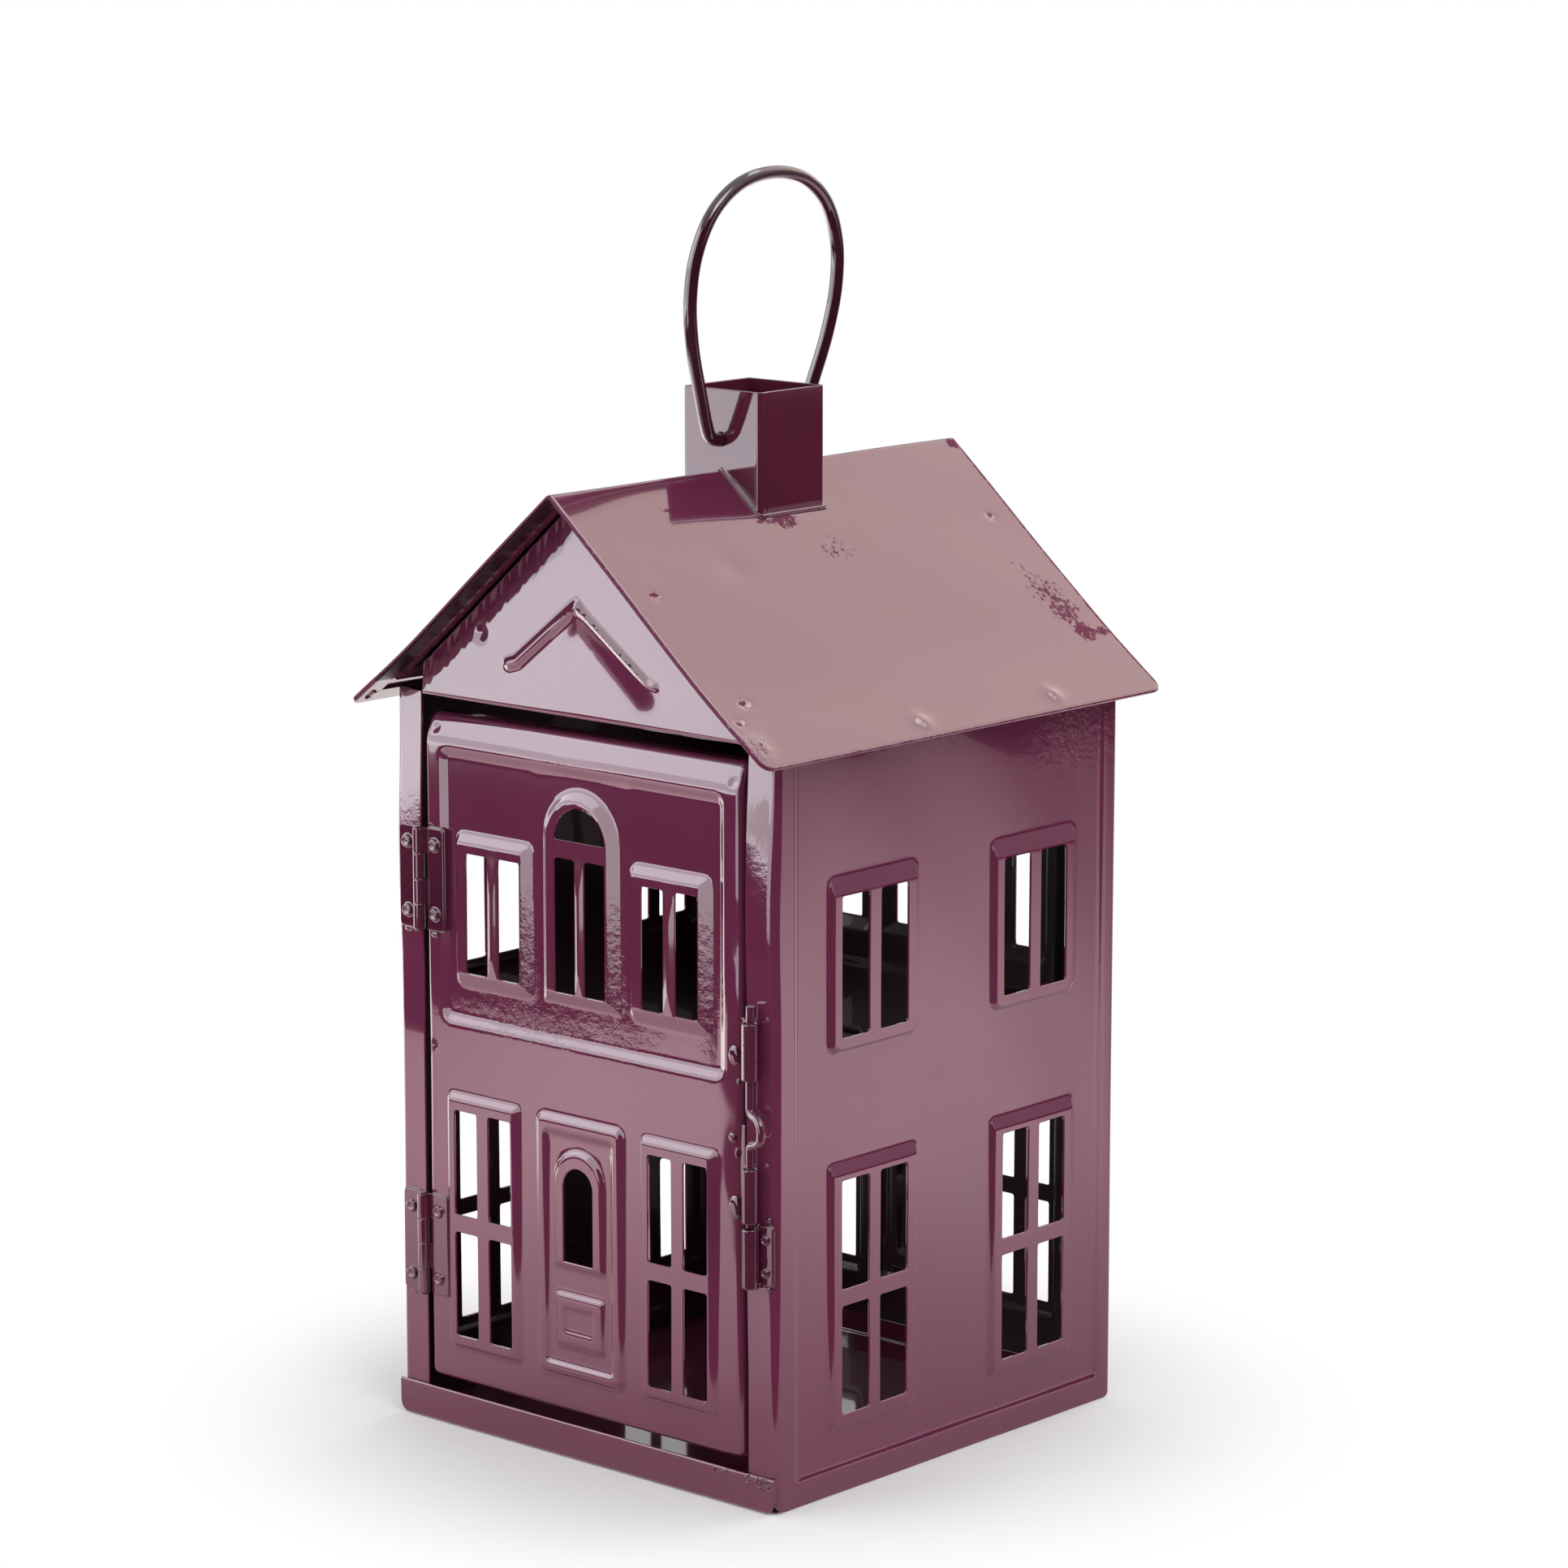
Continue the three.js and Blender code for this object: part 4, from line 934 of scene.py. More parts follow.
def build_flue():
    x, y = FLUE_X, FLUE_Y
    section = Section([(0, -y), (x, -y), (x, y), (-x, y), (-x, -y), (0, -y)], [0.9] * 4, 4)
    holes = (0, section.length / 2, section.length)
    beside = (-ROUND_THE_HOLE, -WIRE_HOLE, 0, WIRE_HOLE, ROUND_THE_HOLE)
    around = [middle + d for middle in holes for d in beside]
    foot = RIDGE - 1.2
    blank = Blank(
        list(section.s) + [s for s in around if 0 < s < section.length],
        [foot, RIDGE - 1.14, RIDGE - 1.06, RIDGE - 0.4, FLUE_STRAIGHT, FLUE_TOP]
        + [PIVOT + d for d in beside],
    )
    for middle in holes:
        for sx in (-1, 1):
            for sy in (-1, 1):
                blank.circles.append((middle, PIVOT, sx, sy, ROUND_THE_HOLE / 2, ROUND_THE_HOLE))
    s, v = blank.lines(0.4, 2.2)
    s = s[:-1]
    S, V = blank.warp(*np.meshgrid(s, v))
    px, py, angle = section.at(S)
    share = rising(V, foot, FLUE_STRAIGHT - RIDGE + 1.2)
    low = RIDGE - np.abs(px) * PITCH + 0.35
    V = np.where(V < FLUE_STRAIGHT, low + share * (FLUE_STRAIGHT - low), V)
    height = 0.35 * np.exp(-np.maximum(V - low, 0) / 0.14)
    height = height + 0.3 * ((px > x - 0.05) & (py < -y + FLUE_LAP))
    grid = np.stack([px + np.sin(angle) * height, py - np.cos(angle) * height + FLUE_MIDDLE, V], 2)
    ms, mv = middles(np.append(s, section.length)), middles(v)[:, None]
    keep = np.ones((len(v) - 1, len(s)), bool)
    for middle in holes:
        keep &= ~((np.abs(ms - middle) < WIRE_HOLE) & (np.abs(mv - PIVOT) < WIRE_HOLE))
    flue = pressed("lapped_flue", grid, keep, SHEET, closed=True)
    finish(flue, "house", "enamel_flue", flue_enamel, "flue_tube")


build_flue()

# %% [markdown]
# The tray is folded from one sheet: its front edge comes up outside the corner strips and is rolled over,
# and its back edge comes up inside the back panel.

# %% The tray
def build_tray():
    outer, inner = -WALL_Y - LAP - LIP, WALL_Y - 2 * SHEET - 2 * LAP
    section = Section(
        [(inner, 5), (inner, 0), (outer, 0), (outer, LIP_HEIGHT), (outer + LIP, LIP_HEIGHT),
         (outer + LIP, 3)],
        [0.9, 1.0, 0.45, 0.45], 5,
    )
    front = section.s[(section.nodes[:, 1] >= 0) & (section.nodes[:, 0] < outer + 0.01)][0]
    corner_lines = [front + FOOT_RADIUS * (1 - math.cos(a)) for a in np.linspace(0.3, 1.5, 6)]
    s = grid_lines(list(section.s) + corner_lines, 0.3, 4)
    w = grid_lines([-1, -0.95, 0.95, 1], 0.01, 0.05)
    S, W = np.meshgrid(s, -w)
    y, z, angle = section.at(S)
    side = WALL_X - SHEET - LAP
    on_lip = y < outer + 2 * LIP
    low_z = np.clip(z, 0, FOOT_RADIUS)
    cut = FOOT_RADIUS - np.sqrt(np.maximum(FOOT_RADIUS ** 2 - (FOOT_RADIUS - low_z) ** 2, 0))
    half = np.where(on_lip, WALL_X - cut, side)
    x = W * half
    ripple = uneven(x * 2, z * 2 + y, 0.12, 41) * on_lip
    grid = np.stack([x, y - ripple, z], 2)
    keep = np.ones((len(w) - 1, len(s) - 1), bool)
    tray = pressed("folded_tray", grid, keep, TRAY_SHEET)
    dried(tray, "rough", [
        ((46, -58, 7), (10, 3, 1.6), 0.4), ((-10, -58, 8.4), (50, 3, 0.6), 0.15),
        ((55.5, -58, 4), (2, 3, 4), 0.4),
    ])
    dried(tray, "matt", [
        ((47, -58, 8), (9, 3, 0.7), 0.9), ((-10, -58, 8.4), (50, 3, 0.5), 0.62),
        ((55, -58, 4), (2, 3, 4), 0.8),
    ])
    finish(tray, "house", "enamel_sheet", sheet_enamel, "base_tray")


build_tray()

# %% [markdown]
# Rivets and pins follow one rule many times over, so small node trees make them. The first tree is
# a lathe: it sweeps a profile round an axis and sets one on each marked place. The second draws a
# wire of a given radius along a path, with round ends and, for beads of enamel, an uneven width.

# %% A lathe and a wire drawer in Geometry Nodes
def node_tree(name, sockets):
    """A geometry tree with a mesh in, a mesh out and named inputs."""
    tree = bpy.data.node_groups.new(name, "GeometryNodeTree")
    tree.interface.new_socket("Geometry", in_out="INPUT", socket_type="NodeSocketGeometry")
    tree.interface.new_socket("Geometry", in_out="OUTPUT", socket_type="NodeSocketGeometry")
    for label, (kind, value) in sockets.items():
        socket = tree.interface.new_socket(label, in_out="INPUT", socket_type=kind)
        if value is not None:
            socket.default_value = value
    return tree, add_node(tree, "NodeGroupInput").outputs, add_node(tree, "NodeGroupOutput")


def shape_curve(tree, factor, values):
    """A smooth curve through evenly spaced values from 0 to 1."""
    node = add_node(tree, "ShaderNodeFloatCurve", links={"Value": factor})
    curve = node.mapping.curves[0]
    last = len(values) - 1
    for k in range(1, last):
        curve.points.new(k / last, values[k])
    curve.points[0].location = (0, values[0])
    curve.points[last].location = (1, values[last])
    node.mapping.update()
    return node.outputs[0]


def finish_tree(tree, geometry, given, result):
    real = add_node(tree, "GeometryNodeRealizeInstances", links={"Geometry": geometry})
    smooth = add_node(tree, "GeometryNodeSetShadeSmooth", links={"Geometry": real.outputs[0]})
    painted = add_node(tree, "GeometryNodeSetMaterial",
                       links={"Geometry": smooth.outputs[0], "Material": given["Material"]})
    tree.links.new(painted.outputs[0], result.inputs[0])


def lathe_tree(name, radii, heights):
    """A tree that turns the profile and sets it on the points, by their turn and size."""
    tree, given, result = node_tree(name, {
        "Sides": ("NodeSocketInt", 32), "Steps": ("NodeSocketInt", 18),
        "Material": ("NodeSocketMaterial", None),
    })
    around = maths(tree, "ADD", given["Sides"], 1)
    grid = add_node(tree, "GeometryNodeMeshGrid", {"Size X": 1, "Size Y": 1},
                    {"Vertices X": around, "Vertices Y": given["Steps"]})
    where = add_node(tree, "GeometryNodeInputPosition").outputs[0]
    split = add_node(tree, "ShaderNodeSeparateXYZ", links={0: where})
    angle = maths(tree, "MULTIPLY", maths(tree, "ADD", split.outputs[0], 0.5), 2 * math.pi)
    along = maths(tree, "ADD", split.outputs[1], 0.5)
    radius = shape_curve(tree, along, radii)
    place = add_node(tree, "ShaderNodeCombineXYZ", links={
        0: maths(tree, "MULTIPLY", radius, maths(tree, "COSINE", angle)),
        1: maths(tree, "MULTIPLY", radius, maths(tree, "SINE", angle)),
        2: shape_curve(tree, along, heights),
    })
    moved = add_node(tree, "GeometryNodeSetPosition",
                     links={"Geometry": grid.outputs[0], "Position": place.outputs[0]})
    joined = add_node(tree, "GeometryNodeMergeByDistance", {"Distance": 1e-4},
                      {"Geometry": moved.outputs[0]})
    turn, size = (
        add_node(
            tree, "GeometryNodeInputNamedAttribute", {"data_type": "FLOAT_VECTOR", "Name": label}
        ).outputs[0]
        for label in ("turn", "size")
    )
    placed = add_node(tree, "GeometryNodeInstanceOnPoints", links={
        "Points": given["Geometry"], "Instance": joined.outputs[0], "Rotation": turn, "Scale": size,
    })
    finish_tree(tree, placed.outputs[0], given, result)
    return tree


def wire_tree():
    """A tree that draws a wire along each chain of edges."""
    tree, given, result = node_tree("drawn wire", {
        "Radius": ("NodeSocketFloat", MM), "Sides": ("NodeSocketInt", 20), "End": ("NodeSocketFloat", MM),
        "Uneven": ("NodeSocketFloat", 0.0), "Wave": ("NodeSocketFloat", MM),
        "Seed": ("NodeSocketFloat", 3.0), "Material": ("NodeSocketMaterial", None),
    })
    curve = add_node(tree, "GeometryNodeMeshToCurve", links={"Mesh": given["Geometry"]})
    here = add_node(tree, "GeometryNodeSplineParameter").outputs["Length"]
    total = add_node(tree, "GeometryNodeSplineLength").outputs["Length"]
    from_end = maths(tree, "MINIMUM", here, maths(tree, "SUBTRACT", total, here))
    share = maths(tree, "DIVIDE", from_end, given["End"])
    short = maths(tree, "SUBTRACT", 1.0, maths(tree, "MINIMUM", share, 1.0))
    rounded = maths(tree, "SQRT", maths(tree, "SUBTRACT", 1.0, maths(tree, "MULTIPLY", short, short)))
    cloud = add_node(tree, "ShaderNodeTexNoise", {"noise_dimensions": "4D", "Detail": 2},
                     {"W": given["Seed"], "Scale": maths(tree, "DIVIDE", 1.0, given["Wave"])})
    swing = maths(tree, "MULTIPLY", maths(tree, "SUBTRACT", cloud.outputs["Fac"], 0.5), 2.0)
    width = maths(tree, "ADD", 1.0, maths(tree, "MULTIPLY", swing, given["Uneven"]))
    sized = add_node(tree, "GeometryNodeSetCurveRadius",
                     links={"Curve": curve.outputs[0], "Radius": maths(tree, "MULTIPLY", rounded, width)})
    ring = add_node(tree, "GeometryNodeCurvePrimitiveCircle",
                    links={"Resolution": given["Sides"], "Radius": given["Radius"]})
    drawn = add_node(tree, "GeometryNodeCurveToMesh", {"Fill Caps": True},
                     {"Curve": sized.outputs[0], "Profile Curve": ring.outputs[0]})
    finish_tree(tree, drawn.outputs[0], given, result)
    return tree


def grown(name, tree, points, edges, values, fields=None):
    """Runs a tree on points in millimetres and keeps the result as a plain mesh."""
    mesh = bpy.data.meshes.new(name)
    mesh.from_pydata([tuple(float(c) * MM for c in point) for point in points], edges, [])
    for label, rows in (fields or {}).items():
        mesh.attributes.new(label, "FLOAT_VECTOR", "POINT").data.foreach_set("vector", np.ravel(rows))
    piece = bpy.data.objects.new(name, mesh)
    bpy.context.scene.collection.objects.link(piece)
    modifier = piece.modifiers.new("grow", "NODES")
    modifier.node_group = tree
    for item in tree.interface.items_tree:
        if item.in_out == "INPUT" and item.name in values:
            modifier[item.identifier] = values[item.name]
    evaluated = piece.evaluated_get(bpy.context.evaluated_depsgraph_get())
    plain = bpy.data.meshes.new_from_object(evaluated)
    piece.modifiers.clear()
    piece.data = plain
    return piece


rivet_tree = lathe_tree(
    "domed rivet", [1, 0.86, 0.82, 0.76, 0.64, 0.5, 0.36, 0.2, 0],
    [0, 0.06, 0.4, 0.78, 0.97, 0.98, 0.8, 0.66, 0.62],
)
pin_tree = lathe_tree(
    "hinge pin", [0, 0.85, 1, 0.85, 0.6, 0.6, 0.85, 1, 0.85, 0],
    [0, 0.002, 0.01, 0.018, 0.02, 0.98, 0.982, 0.99, 0.998, 1],
)
drop_tree = lathe_tree(
    "dried drop", [1, 0.97, 0.9, 0.8, 0.66, 0.48, 0.26, 0],
    [0, 0.1, 0.32, 0.58, 0.8, 0.93, 0.99, 1],
)
wire = wire_tree()

# %% [markdown]
# The bolt and the carrying wire are drawn along smooth curves through measured points. The curve
# takes wider steps where the points are far apart, so it doesn't overshoot in the tight bends.

# %% The two bent wires
def through(points, step):
    """A centripetal Catmull-Rom curve through the points, in equal steps of that length."""
    p = np.array(points, float)
    p = np.concatenate([[2 * p[0] - p[1]], p, [2 * p[-1] - p[-2]]])
    out = []
    for a, b, c, d in zip(p[:-3], p[1:-2], p[2:-1], p[3:]):
        roots = [math.sqrt(np.linalg.norm(q - r)) for q, r in ((b, a), (c, b), (d, c))]
        t = np.concatenate([[0], np.cumsum(roots)])
        x = np.linspace(t[1], t[2], 24, endpoint=False)[:, None]
        ab = (t[1] - x) / (t[1] - t[0]) * a + (x - t[0]) / (t[1] - t[0]) * b
        bc = (t[2] - x) / (t[2] - t[1]) * b + (x - t[1]) / (t[2] - t[1]) * c
        cd = (t[3] - x) / (t[3] - t[2]) * c + (x - t[2]) / (t[3] - t[2]) * d
        abc = (t[2] - x) / (t[2] - t[0]) * ab + (x - t[0]) / (t[2] - t[0]) * bc
        bcd = (t[3] - x) / (t[3] - t[1]) * bc + (x - t[1]) / (t[3] - t[1]) * cd
        out.append((t[2] - x) / (t[2] - t[1]) * abc + (x - t[1]) / (t[2] - t[1]) * bcd)
    fine = np.concatenate([*out, [p[-2]]])
    length = lengths_along(fine)
    even = np.arange(0, length[-1], step)
    # Round ends need a few close rings
    close = step * np.array([0.02, 0.08, 0.2, 0.4, 0.7])
    places = np.unique(np.concatenate([even, close, length[-1] - close, [length[-1]]]))
    return resampled(fine, length, places)


def chain(points, closed=False):
    edges = [(k, k + 1) for k in range(len(points) - 1)]
    return edges + [(len(points) - 1, 0)] if closed else edges


WIRE_RADIUS = 1.5
LEAN = math.radians(5.6)
HALF_LOOP = [
    (8.2, 0), (12.2, 0), (14.4, 0.9), (15.7, 3.2), (18.6, 11), (22, 21), (23.8, 31.4), (22.9, 41.3),
    (18.5, 50.2), (10.8, 55.9),
]
loop = [(-d, h) for d, h in HALF_LOOP] + [(0, 57.9)] + [(d, h) for d, h in HALF_LOOP[::-1]]
loop_points = through([
    (h * math.sin(LEAN), FLUE_MIDDLE + d, PIVOT + h * math.cos(LEAN)) for d, h in loop
], 0.9)
carrying = grown("drawn_carrying_wire", wire, loop_points, chain(loop_points), {
    "Radius": WIRE_RADIUS * MM, "Sides": 36, "End": 0.8 * MM, "Uneven": 0.03, "Wave": 9 * MM,
    "Material": wire_enamel,
})
finish(carrying, "handle", "enamel_wire", wire_enamel, "carrying_wire")

BOLT_RADIUS = 0.95
BOLT_X, BOLT_Y = 51, -59.6
BOLT_TURN = math.radians(20)
BOLT_PATH = [
    (0.18, 110.8), (0.05, 107.4), (0, 104), (0, 89.6), (0, 88.5), (0.5, 87.7), (1.5, 87.35), (3.1, 87),
    (4.4, 85.9), (4.9, 84.2), (4.5, 82.6), (3.2, 81.6), (1.7, 81.1), (0.6, 80.75), (0.05, 80.1),
    (0, 79.4), (0, 62.9),
]
bolt_points = through([
    (BOLT_X + out * math.cos(BOLT_TURN), BOLT_Y - out * math.sin(BOLT_TURN), z) for out, z in BOLT_PATH
], 0.35)
bolt = grown("drawn_latch_bolt", wire, bolt_points, chain(bolt_points), {
    "Radius": BOLT_RADIUS * MM, "Sides": 28, "End": 0.8 * MM, "Uneven": 0.04, "Wave": 3 * MM,
    "Material": fitting_enamel,
})
finish(bolt, "latch_bolt", "enamel_bolt", fitting_enamel, "latch_bolt")

# %% [markdown]
# Hinge leaves, guides and the keeper are small strips curled round a pin or the bolt. Each is a
# folded section swept along Z, with its lobes and notches left out of the grid.

# %% Curled fittings
FITTING_SHEET = 0.6


def curled(name, corners, radii, z_lines, metal, body, node, round_corners=()):
    """A strip whose centre line runs through corners; metal says which cells of it exist."""
    section = Section(corners, radii, 9)
    blank = Blank(list(section.s), z_lines)
    for s, z, ds, dz, radius in round_corners:
        place = s if s >= 0 else section.length + s
        blank.circles.append((place - ds * radius, z - dz * radius, ds, dz, radius, radius + 0.6))
        blank.u.append(place - ds * radius)
        blank.v.append(z - dz * radius)
    s, z = blank.lines(0.22, 0.8)
    S, Z = blank.warp(*np.meshgrid(s, z))
    x, y, angle = section.at(S)
    x, y = x + np.sin(angle) * FITTING_SHEET / 2, y - np.cos(angle) * FITTING_SHEET / 2
    grid = np.stack([x, y, Z + uneven(x * 6, Z * 6, 0.12, len(name))], 2)
    cells = metal(middles(s)[None, :], middles(z)[:, None])
    strip = pressed(name, grid, cells, FITTING_SHEET, sharp=50)
    finish(strip, body, "enamel_fittings", fitting_enamel, node)


HINGE_X, HINGE_Y = -48.1, -58.9
HINGES = (("upper", 124.4), ("lower", 41))
HINGE_HALF = 11.4
PITCH_OF_KNUCKLES = 2 * HINGE_HALF / 4


def hinge_leaf(name, middle, side, edge, knuckles, body, node):
    """side is -1 for the leaf on the frame and 1 for the leaf on the door."""
    plate_end = abs(edge - (HINGE_X + side * 1.6))
    cuts = [middle - HINGE_HALF + k * PITCH_OF_KNUCKLES + d for k in range(5) for d in (-0.075, 0.075)]
    low, high = middle - HINGE_HALF, middle + HINGE_HALF

    def metal(s, z):
        number = (z - low) / PITCH_OF_KNUCKLES
        part = number - np.floor(number)
        own = np.isin(np.floor(number), knuckles) & (part > 0.013) & (part < 0.987)
        return (z > low) & (z < high) & ((s < plate_end) | own)

    curled(
        name,
        [(edge, HINGE_Y + 1), (HINGE_X - side, HINGE_Y + 1), (HINGE_X - side, HINGE_Y - 1),
         (HINGE_X + side, HINGE_Y - 1), (HINGE_X + side, HINGE_Y + 0.55)],
        [0.99, 0.99, 0.99], cuts + [low, high], metal, body, node,
        [(0, low, -1, -1, 0.8), (0, high, -1, 1, 0.8)],
    )


for level, middle in HINGES:
    for side, leaf, edge, knuckles, body in (
        (-1, "frame", -54.8, [0, 2], "house"), (1, "door", -41.3, [1, 3], "door"),
    ):
        hinge_leaf(
            f"curled_{level}_{leaf}_leaf", middle, side, edge, knuckles, body, f"{level}_hinge_{leaf}_leaf"
        )
    foot = middle - HINGE_HALF - 0.5
    pin = grown(
        f"turned_{level}_pin", pin_tree, [(HINGE_X, HINGE_Y, foot)], [],
        {"Sides": 20, "Steps": 46, "Material": fitting_enamel},
        {"turn": [(0, 0, 0)], "size": [(MM, MM, (2 * HINGE_HALF + 1) * MM)]},
    )
    finish(pin, "house", "enamel_fittings", fitting_enamel, f"{level}_hinge_pin")

GUIDE_CORNERS = [
    (42.4, -56.5), (47.6, -56.5), (47.6, -58.1), (52.5, -58.1), (52.5, -61.1), (49.5, -61.1),
    (49.5, -58.75),
]
GUIDE_RADII = [0.7, 0.7, 1.49, 1.49, 1.49]


def guide(name, low, high, tongue_high, node):
    cuts = sorted({low, high, tongue_high})
    curled(
        name, GUIDE_CORNERS, GUIDE_RADII, cuts,
        lambda s, z: (z < high) | (s < 4.6), "door", node,
        [(0, low, -1, -1, 0.8), (0, tongue_high, -1, 1, 0.8)],
    )


guide("curled_upper_guide", 94.9, 107, 107, "upper_bolt_guide")
guide("curled_lower_guide", 64, 75.5, 83.8, "lower_bolt_guide")
curled(
    "curled_keeper", [(56, -57.9), (49.5, -57.95), (49.5, -61.1), (52.5, -61.1), (52.5, -58.8)],
    [1.49, 1.49, 1.49], [49.8, 50.5, 62.5, 63.3],
    lambda s, z: ((s > 3.2) & (z < 62.5)) | ((s < 3.2) & (z > 50.5)),
    "house", "bolt_keeper", [(0, 50.5, -1, -1, 0.8), (0, 63.3, -1, 1, 0.8)],
)

# %% Rivets, drops and crumbs, one mesh for each set
HINGE_HEAD = (-58.2, 1.2 * 1.5, 1.2 * 1.5, 0.8)
LATCH_HEAD = (-58.2, 1.2 * 1.2, 1.2 * 1.2, 0.6)
RIVET = (rivet_tree, 32, 22, 0.3)
DROP = (drop_tree, 24, 16, 0)
RIVET_RISE = 7.8


def studs(name, body, kind, places, nodes=(), slot="enamel_rivets"):
    """places: x, height, front plane, half width, half height, depth."""
    tree, sides, steps, turned = kind
    piece = grown(
        name, tree, [(x, y, z) for x, z, y, *_ in places], [],
        {"Sides": sides, "Steps": steps, "Material": fitting_enamel},
        {"turn": [(math.pi / 2, turned * k, 0) for k in range(len(places))],
         "size": [[length * MM for length in size] for _, _, _, *size in places]},
    )
    finish(piece, body, slot, fitting_enamel, *nodes)


def hinge_rivets(x, leaf):
    """The places of the rivets in both hinges' leaves, and the names of their nodes."""
    places = [(x, middle + d, *HINGE_HEAD) for _, middle in HINGES for d in (RIVET_RISE, -RIVET_RISE)]
    nodes = [f"{level}_hinge_{leaf}_rivet_{end}" for level, _ in HINGES for end in ("top", "foot")]
    return places, nodes


frame_places, frame_nodes = hinge_rivets(-52.25, "frame")
studs(
    "house_rivets", "house", RIVET,
    frame_places + [(54, 53.2, *LATCH_HEAD), (54, 60.4, *LATCH_HEAD)],
    frame_nodes + ["keeper_rivet_1", "keeper_rivet_2"],
)
studs("door_rivets", "door", RIVET, *hinge_rivets(-43.9, "door"))
studs("drowned_latch_rivets", "door", DROP, [
    (44.6, 98.8, -57.5, 1.6, 2.2, 0.5), (44.7, 65.6, -57.5, 1.7, 2.7, 0.5),
    (44.1, 80.9, -57.5, 1.1, 1.2, 0.45),
], ["upper_guide_rivet_1", "lower_guide_rivet_1", "lower_guide_rivet_2"])
studs("door_enamel_drops", "door", DROP, [
    (45.5, 93.2, -57, 0.6, 0.8, 0.4), (45.1, 77.6, -57.1, 0.6, 1.3, 0.45),
    (-45.6, 86.1, -57.5, 0.7, 0.9, 0.45), (-44.6, 111.9, -57.5, 1.2, 0.9, 0.5),
], slot="enamel_fittings")
studs("house_enamel_drops", "house", DROP, [
    (-52.6, 112.3, -57.5, 1.6, 0.9, 0.5), (-52.2, 28.9, -57.5, 1.3, 0.8, 0.4),
    (54.3, 49.6, -57.5, 1.1, 0.7, 0.4), (54.5, 64.6, -57.5, 0.9, 0.8, 0.35),
], slot="enamel_fittings")
# Small crumbs dried along the top of the tray's lip, most of them near its right end
crumbs = np.random.default_rng(8)
reach = crumbs.random(34) ** 2
studs("house_enamel_crumbs", "house", DROP, [
    (55.3 - 16 * r, 7.7 - (2.6 - 1.8 * r) * crumbs.random() ** 2, -WALL_Y - LAP - LIP + 0.02,
     *crumbs.uniform(0.2, 0.55, 2), crumbs.uniform(0.18, 0.42)) for r in reach
], slot="enamel_fittings")

# %% [markdown]
# When the house is lifted out of the dip, enamel gathers in each inner corner and dries as a bead.
# In the photograph these beads are the bright wavy outlines round the hinge leaves, the keeper and
# the foot of the flue. The wire drawer makes them too, with a strong unevenness.

# %% Beads of enamel
def outline(left, low, right, high, y, step=0.5):
    """A rounded frame of points at depth y."""
    r = 0.8
    points = []
    for cx, cz, start in ((right - r, high - r, 0), (left + r, high - r, 1),
                          (left + r, low + r, 2), (right - r, low + r, 3)):
        for k in range(5):
            a = (start + k / 4) * math.pi / 2
            points.append((cx + r * math.cos(a), y, cz + r * math.sin(a)))
    closed = np.array(points + points[:1])
    length = lengths_along(closed)
    return resampled(closed, length, np.arange(0, length[-1] - step / 2, step))


def beads(name, body, loops, strings, radius):
    """One mesh of beads: loops are closed outlines and strings are open ones."""
    points, edges = [], []
    for path, closed in [(p, True) for p in loops] + [(p, False) for p in strings]:
        edges += [(a + len(points), b + len(points)) for a, b in chain(path, closed)]
        points += [tuple(p) for p in path]
    piece = grown(name, wire, points, edges, {
        "Radius": radius * MM, "Sides": 10, "End": 0.3 * MM, "Uneven": 1.3, "Wave": 2.2 * MM,
        "Material": fitting_enamel,
    })
    finish(piece, body, "enamel_fittings", fitting_enamel)


def flue_foot(side_x, side_y):
    """A place on the roof beside the flue's foot."""
    x, y = side_x * (FLUE_X + 0.25), side_y * (FLUE_Y + 0.25)
    return x, y + FLUE_MIDDLE, RIDGE - abs(x) * PITCH + 0.1


foot_loop = [flue_foot(*sides) for sides in (
    (0, -1), (1, -1), (1, 1), (0, 1), (-1, 1), (-1, -1), (0, -1),
)]
foot_ring = np.concatenate([
    np.linspace(a, b, max(2, int(np.linalg.norm(np.subtract(a, b)) / 0.6)), endpoint=False)
    for a, b in zip(foot_loop[:-1], foot_loop[1:])
])
lap_x, lap_y = FLUE_X + 0.2, FLUE_MIDDLE - FLUE_Y + FLUE_LAP
lap_edge = np.linspace((lap_x, lap_y, 206.5), (lap_x, lap_y, 231.8), 50)
around_leaves = {
    body: [outline(left, middle - 11.6, right, middle + 11.6, -57.6) for _, middle in HINGES]
    for body, left, right in (("house", -55, -49.6), ("door", -46.6, -41.1))
}
around_keeper = outline(51.6, 50.3, 56, 63.5, -57.6)
beads("house_enamel_beads", "house", [*around_leaves["house"], around_keeper], [], 0.25)
beads("flue_enamel_beads", "house", [foot_ring], [lap_edge], 0.2)
beads("door_enamel_beads", "door", around_leaves["door"], [], 0.25)

# %% [markdown]
# A plain pale table and soft white light. The enamel is a mirror, so what stands round the
# lantern matters as much as the lamps: big white screens, and dark cards where the photograph's
# table ends. The screens and cards are out of the picture. Away from the lantern the table shows
# as plain white; close to it, it is a real matt surface that keeps the shadow.

# %% Studio
def glow(name, colour, strength):
    """A material that shines evenly."""
    material, tree = new_material(name)
    lit = add_node(tree, "ShaderNodeEmission", {"Color": linear(colour), "Strength": strength})
    add_node(tree, "ShaderNodeOutputMaterial", links={"Surface": lit.outputs[0]})
    return material


def mix(tree, share, first, second):
    """Two shaders in one: the second by its share and the first by the rest."""
    return add_node(tree, "ShaderNodeMixShader", links={0: share, 1: first, 2: second}).outputs[0]


def light_paths(tree):
    """The kinds of ray, and 1 for a ray that comes from the camera straight or through glass."""
    paths = add_node(tree, "ShaderNodeLightPath").outputs
    return paths, maths(tree, "MAXIMUM", paths["Is Camera Ray"], paths["Is Transmission Ray"])


